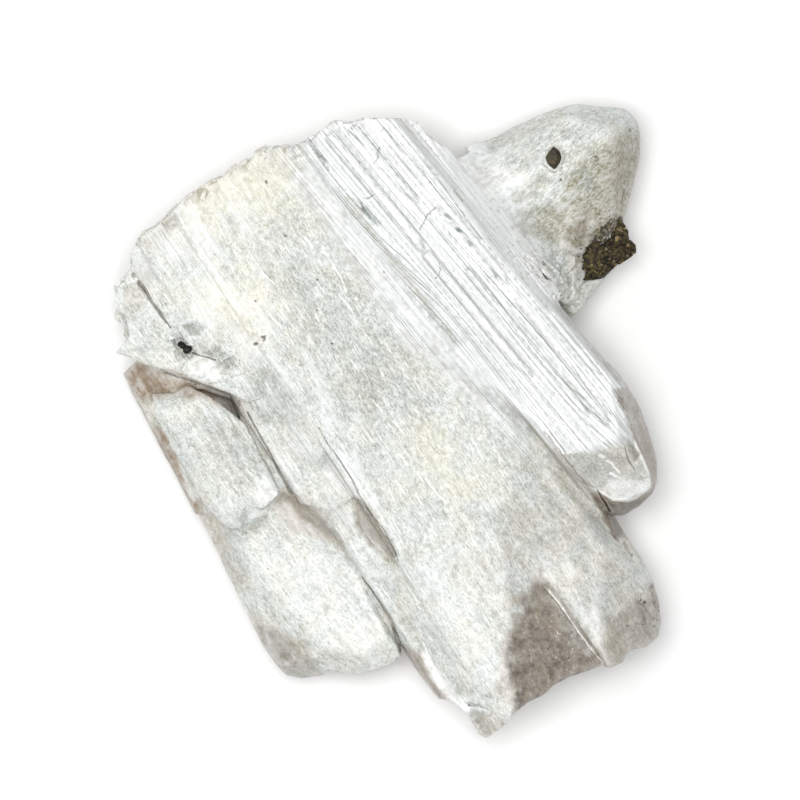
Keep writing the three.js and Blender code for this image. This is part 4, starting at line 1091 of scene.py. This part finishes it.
# The three bits of other minerals: their own small sculpts, all sizes in mm.
grains = {
    "ironRock": {
        "node": "matrix_lump", "slot": "iron_rock", "voxel": 0.1,
        "lumps": (1.3, 0.4), "crumbs": (0.5, 0.3),  # width and height
        "swell": 0.14,
        "bulge": ((-0.55, 0.83, 0.5), 0.95),  # direction, and how far
        # earthy iron-stained rock: matt, porous, near black with olive patches and a few paler crumbs
        "finish": {"name": "earthyIronRock", "dark": "#120c05", "light": "#6a5d38", "crumb": "#a08c64",
                   "spots": 0.4, "roughness": 0.9, "depth": 0.14},
    },
    "brownLensGrain": {
        "node": "brown_lens_grain", "slot": "brown_crystal", "voxel": 0.06,
        "lumps": (0.9, 0.03), "crumbs": (0.4, 0.02),
        "swell": -0.05,
        "lens": (1.28, 0.98),  # half length, and share of the width kept
        # a resinous brown crystal: dark, with a soft shine
        "finish": {"name": "resinousBrownCrystal", "dark": "#1c160b", "light": "#5c5136", "crumb": "#3a2c18",
                   "spots": 0.4, "roughness": 0.65, "depth": 0.03},
    },
    "blackGrain": {
        "node": "black_grain", "slot": "black_mineral", "voxel": 0.05,
        "lumps": (0.6, 0.1), "crumbs": (0.3, 0.06),
        "swell": -0.05,
        "shrink": 0.8,
        # a black mineral with a dull shine
        "finish": {"name": "blackMineral", "dark": "#030303", "light": "#14130f", "crumb": "#1c1a16",
                   "spots": 0.3, "roughness": 0.6, "depth": 0.05},
    },
}
grainLimits = {"proudest": 0.3, "smoothAngle": 40}  # mm and degrees


def makeGrain(name, grain):
    piece = copyOfNode(grain["node"], name)
    applyModifier(piece, "REMESH", mode="VOXEL", voxel_size=grain["voxel"] * mm, adaptivity=0)
    points = readVertices(piece)
    normals = readVertices(piece, "normal")
    here = points / mm
    size, height = grain["lumps"]
    fineSize, fineHeight = grain["crumbs"]
    move = height * cells(here / size, 81) + fineHeight * cells(here / fineSize, 83)
    move += grain["swell"]
    points += normals * (np.minimum(move, grainLimits["proudest"]) * mm)[:, None]
    middle = (points.min(axis=0) + points.max(axis=0)) / 2
    if "bulge" in grain:  # the side away from the edge of the stub reaches further over its face
        direction, far = np.array(grain["bulge"][0]), grain["bulge"][1]
        away = (points[:, :2] - middle[:2]) @ direction[:2] / mm
        points += (far * mm * smooth(-0.4, 1.2, away))[:, None] * direction
    if "lens" in grain:  # pointed at both ends
        halfLength, width = grain["lens"]
        length = np.array([math.sin(cameraTurn), math.cos(cameraTurn), 0])
        across = np.array([length[1], -length[0], 0])
        along = np.clip((points - middle) @ length / (halfLength * mm), -0.97, 0.97)
        sideways = (points - middle) @ across
        points += ((width * np.sqrt(1 - along ** 2) - 1) * sideways)[:, None] * across
    if "shrink" in grain:
        points[:, :2] = middle[:2] + grain["shrink"] * (points[:, :2] - middle[:2])
    writeVertices(piece, points, grain["node"])
    selectOnly(piece)
    bpy.ops.object.shade_smooth_by_angle(angle=math.radians(grainLimits["smoothAngle"]))
    piece.data.materials.clear()
    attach(piece, "root")
    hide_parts(grain["node"])
    print(name, len(piece.data.polygons), "faces")
    return piece


def mineralMaterial(name, dark, light, crumb, spots, roughness, depth):  # spots and depth of the bumps in mm
    material = bpy.data.materials.new(name)
    material.use_nodes = True
    tree = material.node_tree
    shader = tree.nodes["Principled BSDF"]
    place = addNode(tree, "TexCoord").outputs["Object"]
    mottle = addNode(tree, "TexNoise", {"Scale": 1 / (spots * mm), "Detail": 5.0, "Roughness": 0.65},
                     Vector=place).outputs["Fac"]
    spread = addNode(tree, "MapRange", {"From_Min": 0.42, "From_Max": 0.7}, Value=mottle).outputs[0]
    colour = addNode(tree, "Mix", {"data_type": "RGBA", "_6": linear(dark), "_7": linear(light)},
                     _0=spread).outputs[2]
    crumbs = addNode(tree, "TexVoronoi", {"Scale": 1 / (spots * mm)}, Vector=place).outputs["Color"]
    chance = addNode(tree, "SeparateColor", Color=crumbs).outputs["Red"]
    chosen = addNode(tree, "MapRange", {"From_Min": 0.88, "From_Max": 0.94, "To_Max": 0.7},
                     Value=chance).outputs[0]
    colour = addNode(tree, "Mix", {"data_type": "RGBA", "_7": linear(crumb)}, _0=chosen,
                     _6=colour).outputs[2]
    tree.links.new(colour, shader.inputs["Base Color"])
    rough = addNode(tree, "MapRange", {"To_Min": roughness - 0.12, "To_Max": roughness + 0.12},
                    Value=mottle)
    tree.links.new(rough.outputs[0], shader.inputs["Roughness"])
    bump = addNode(tree, "Bump", {"Strength": 0.8, "Distance": depth * mm}, Height=mottle)
    tree.links.new(bump.outputs[0], shader.inputs["Normal"])
    return material


for name, grain in grains.items():
    makeGrain(name, grain).data.materials.append(mineralMaterial(**grain["finish"]))


stage = {
    "floor": 1.2,  # m
    "floorColour": "#fafaf9",
    "floorRoughness": 0.9,
    "sky": ("#f3f5f8", 0.42),
    "camera": (-0.005634, 0.00304, 0.82),  # m
    "lens": 327,  # mm
    "lamps": {  # place, what it points at, size in m, and watts
        "overhead": ((-0.02, 0.04, 0.7), (0, 0, 0), (0.3, 0.3), 3.7),
        "fromTheLeft": ((-0.5, 0.3, 0.35), (0, 0, 0.01), (0.3, 0.3), 0.9),
    },
}

bpy.ops.object.select_all(action="DESELECT")
bpy.ops.mesh.primitive_plane_add(size=stage["floor"], location=(0, 0, 0))
floor = bpy.context.object
floor.name = "floor"
floorMaterial = bpy.data.materials.new("paleFloor")
floorMaterial.use_nodes = True
floorShader = floorMaterial.node_tree.nodes["Principled BSDF"]
floorShader.inputs["Base Color"].default_value = linear(stage["floorColour"])
floorShader.inputs["Roughness"].default_value = stage["floorRoughness"]
floor.data.materials.append(floorMaterial)

world = bpy.data.worlds.new("studio")
world.use_nodes = True
sky = world.node_tree.nodes["Background"]
sky.inputs["Color"].default_value = linear(stage["sky"][0])
sky.inputs["Strength"].default_value = stage["sky"][1]
bpy.context.scene.world = world


def softbox(name, place, aim, size, watts):
    bpy.ops.object.light_add(type="AREA", location=place)
    lamp = bpy.context.object
    lamp.name = name
    lamp.data.shape = "RECTANGLE"
    lamp.data.size, lamp.data.size_y = size
    lamp.data.energy = watts
    direction = np.array(aim) - np.array(place)
    lamp.rotation_euler = (
        math.atan2(math.hypot(direction[0], direction[1]), -direction[2]),
        0,
        math.atan2(direction[1], direction[0]) - math.pi / 2,
    )


for name, lamp in stage["lamps"].items():
    softbox(name, *lamp)

bpy.ops.object.camera_add(location=stage["camera"])
camera = bpy.context.object
camera.rotation_euler = (0, 0, -cameraTurn)
camera.data.lens = stage["lens"]
bpy.context.scene.camera = camera
bpy.context.scene.view_settings.view_transform = "Standard"
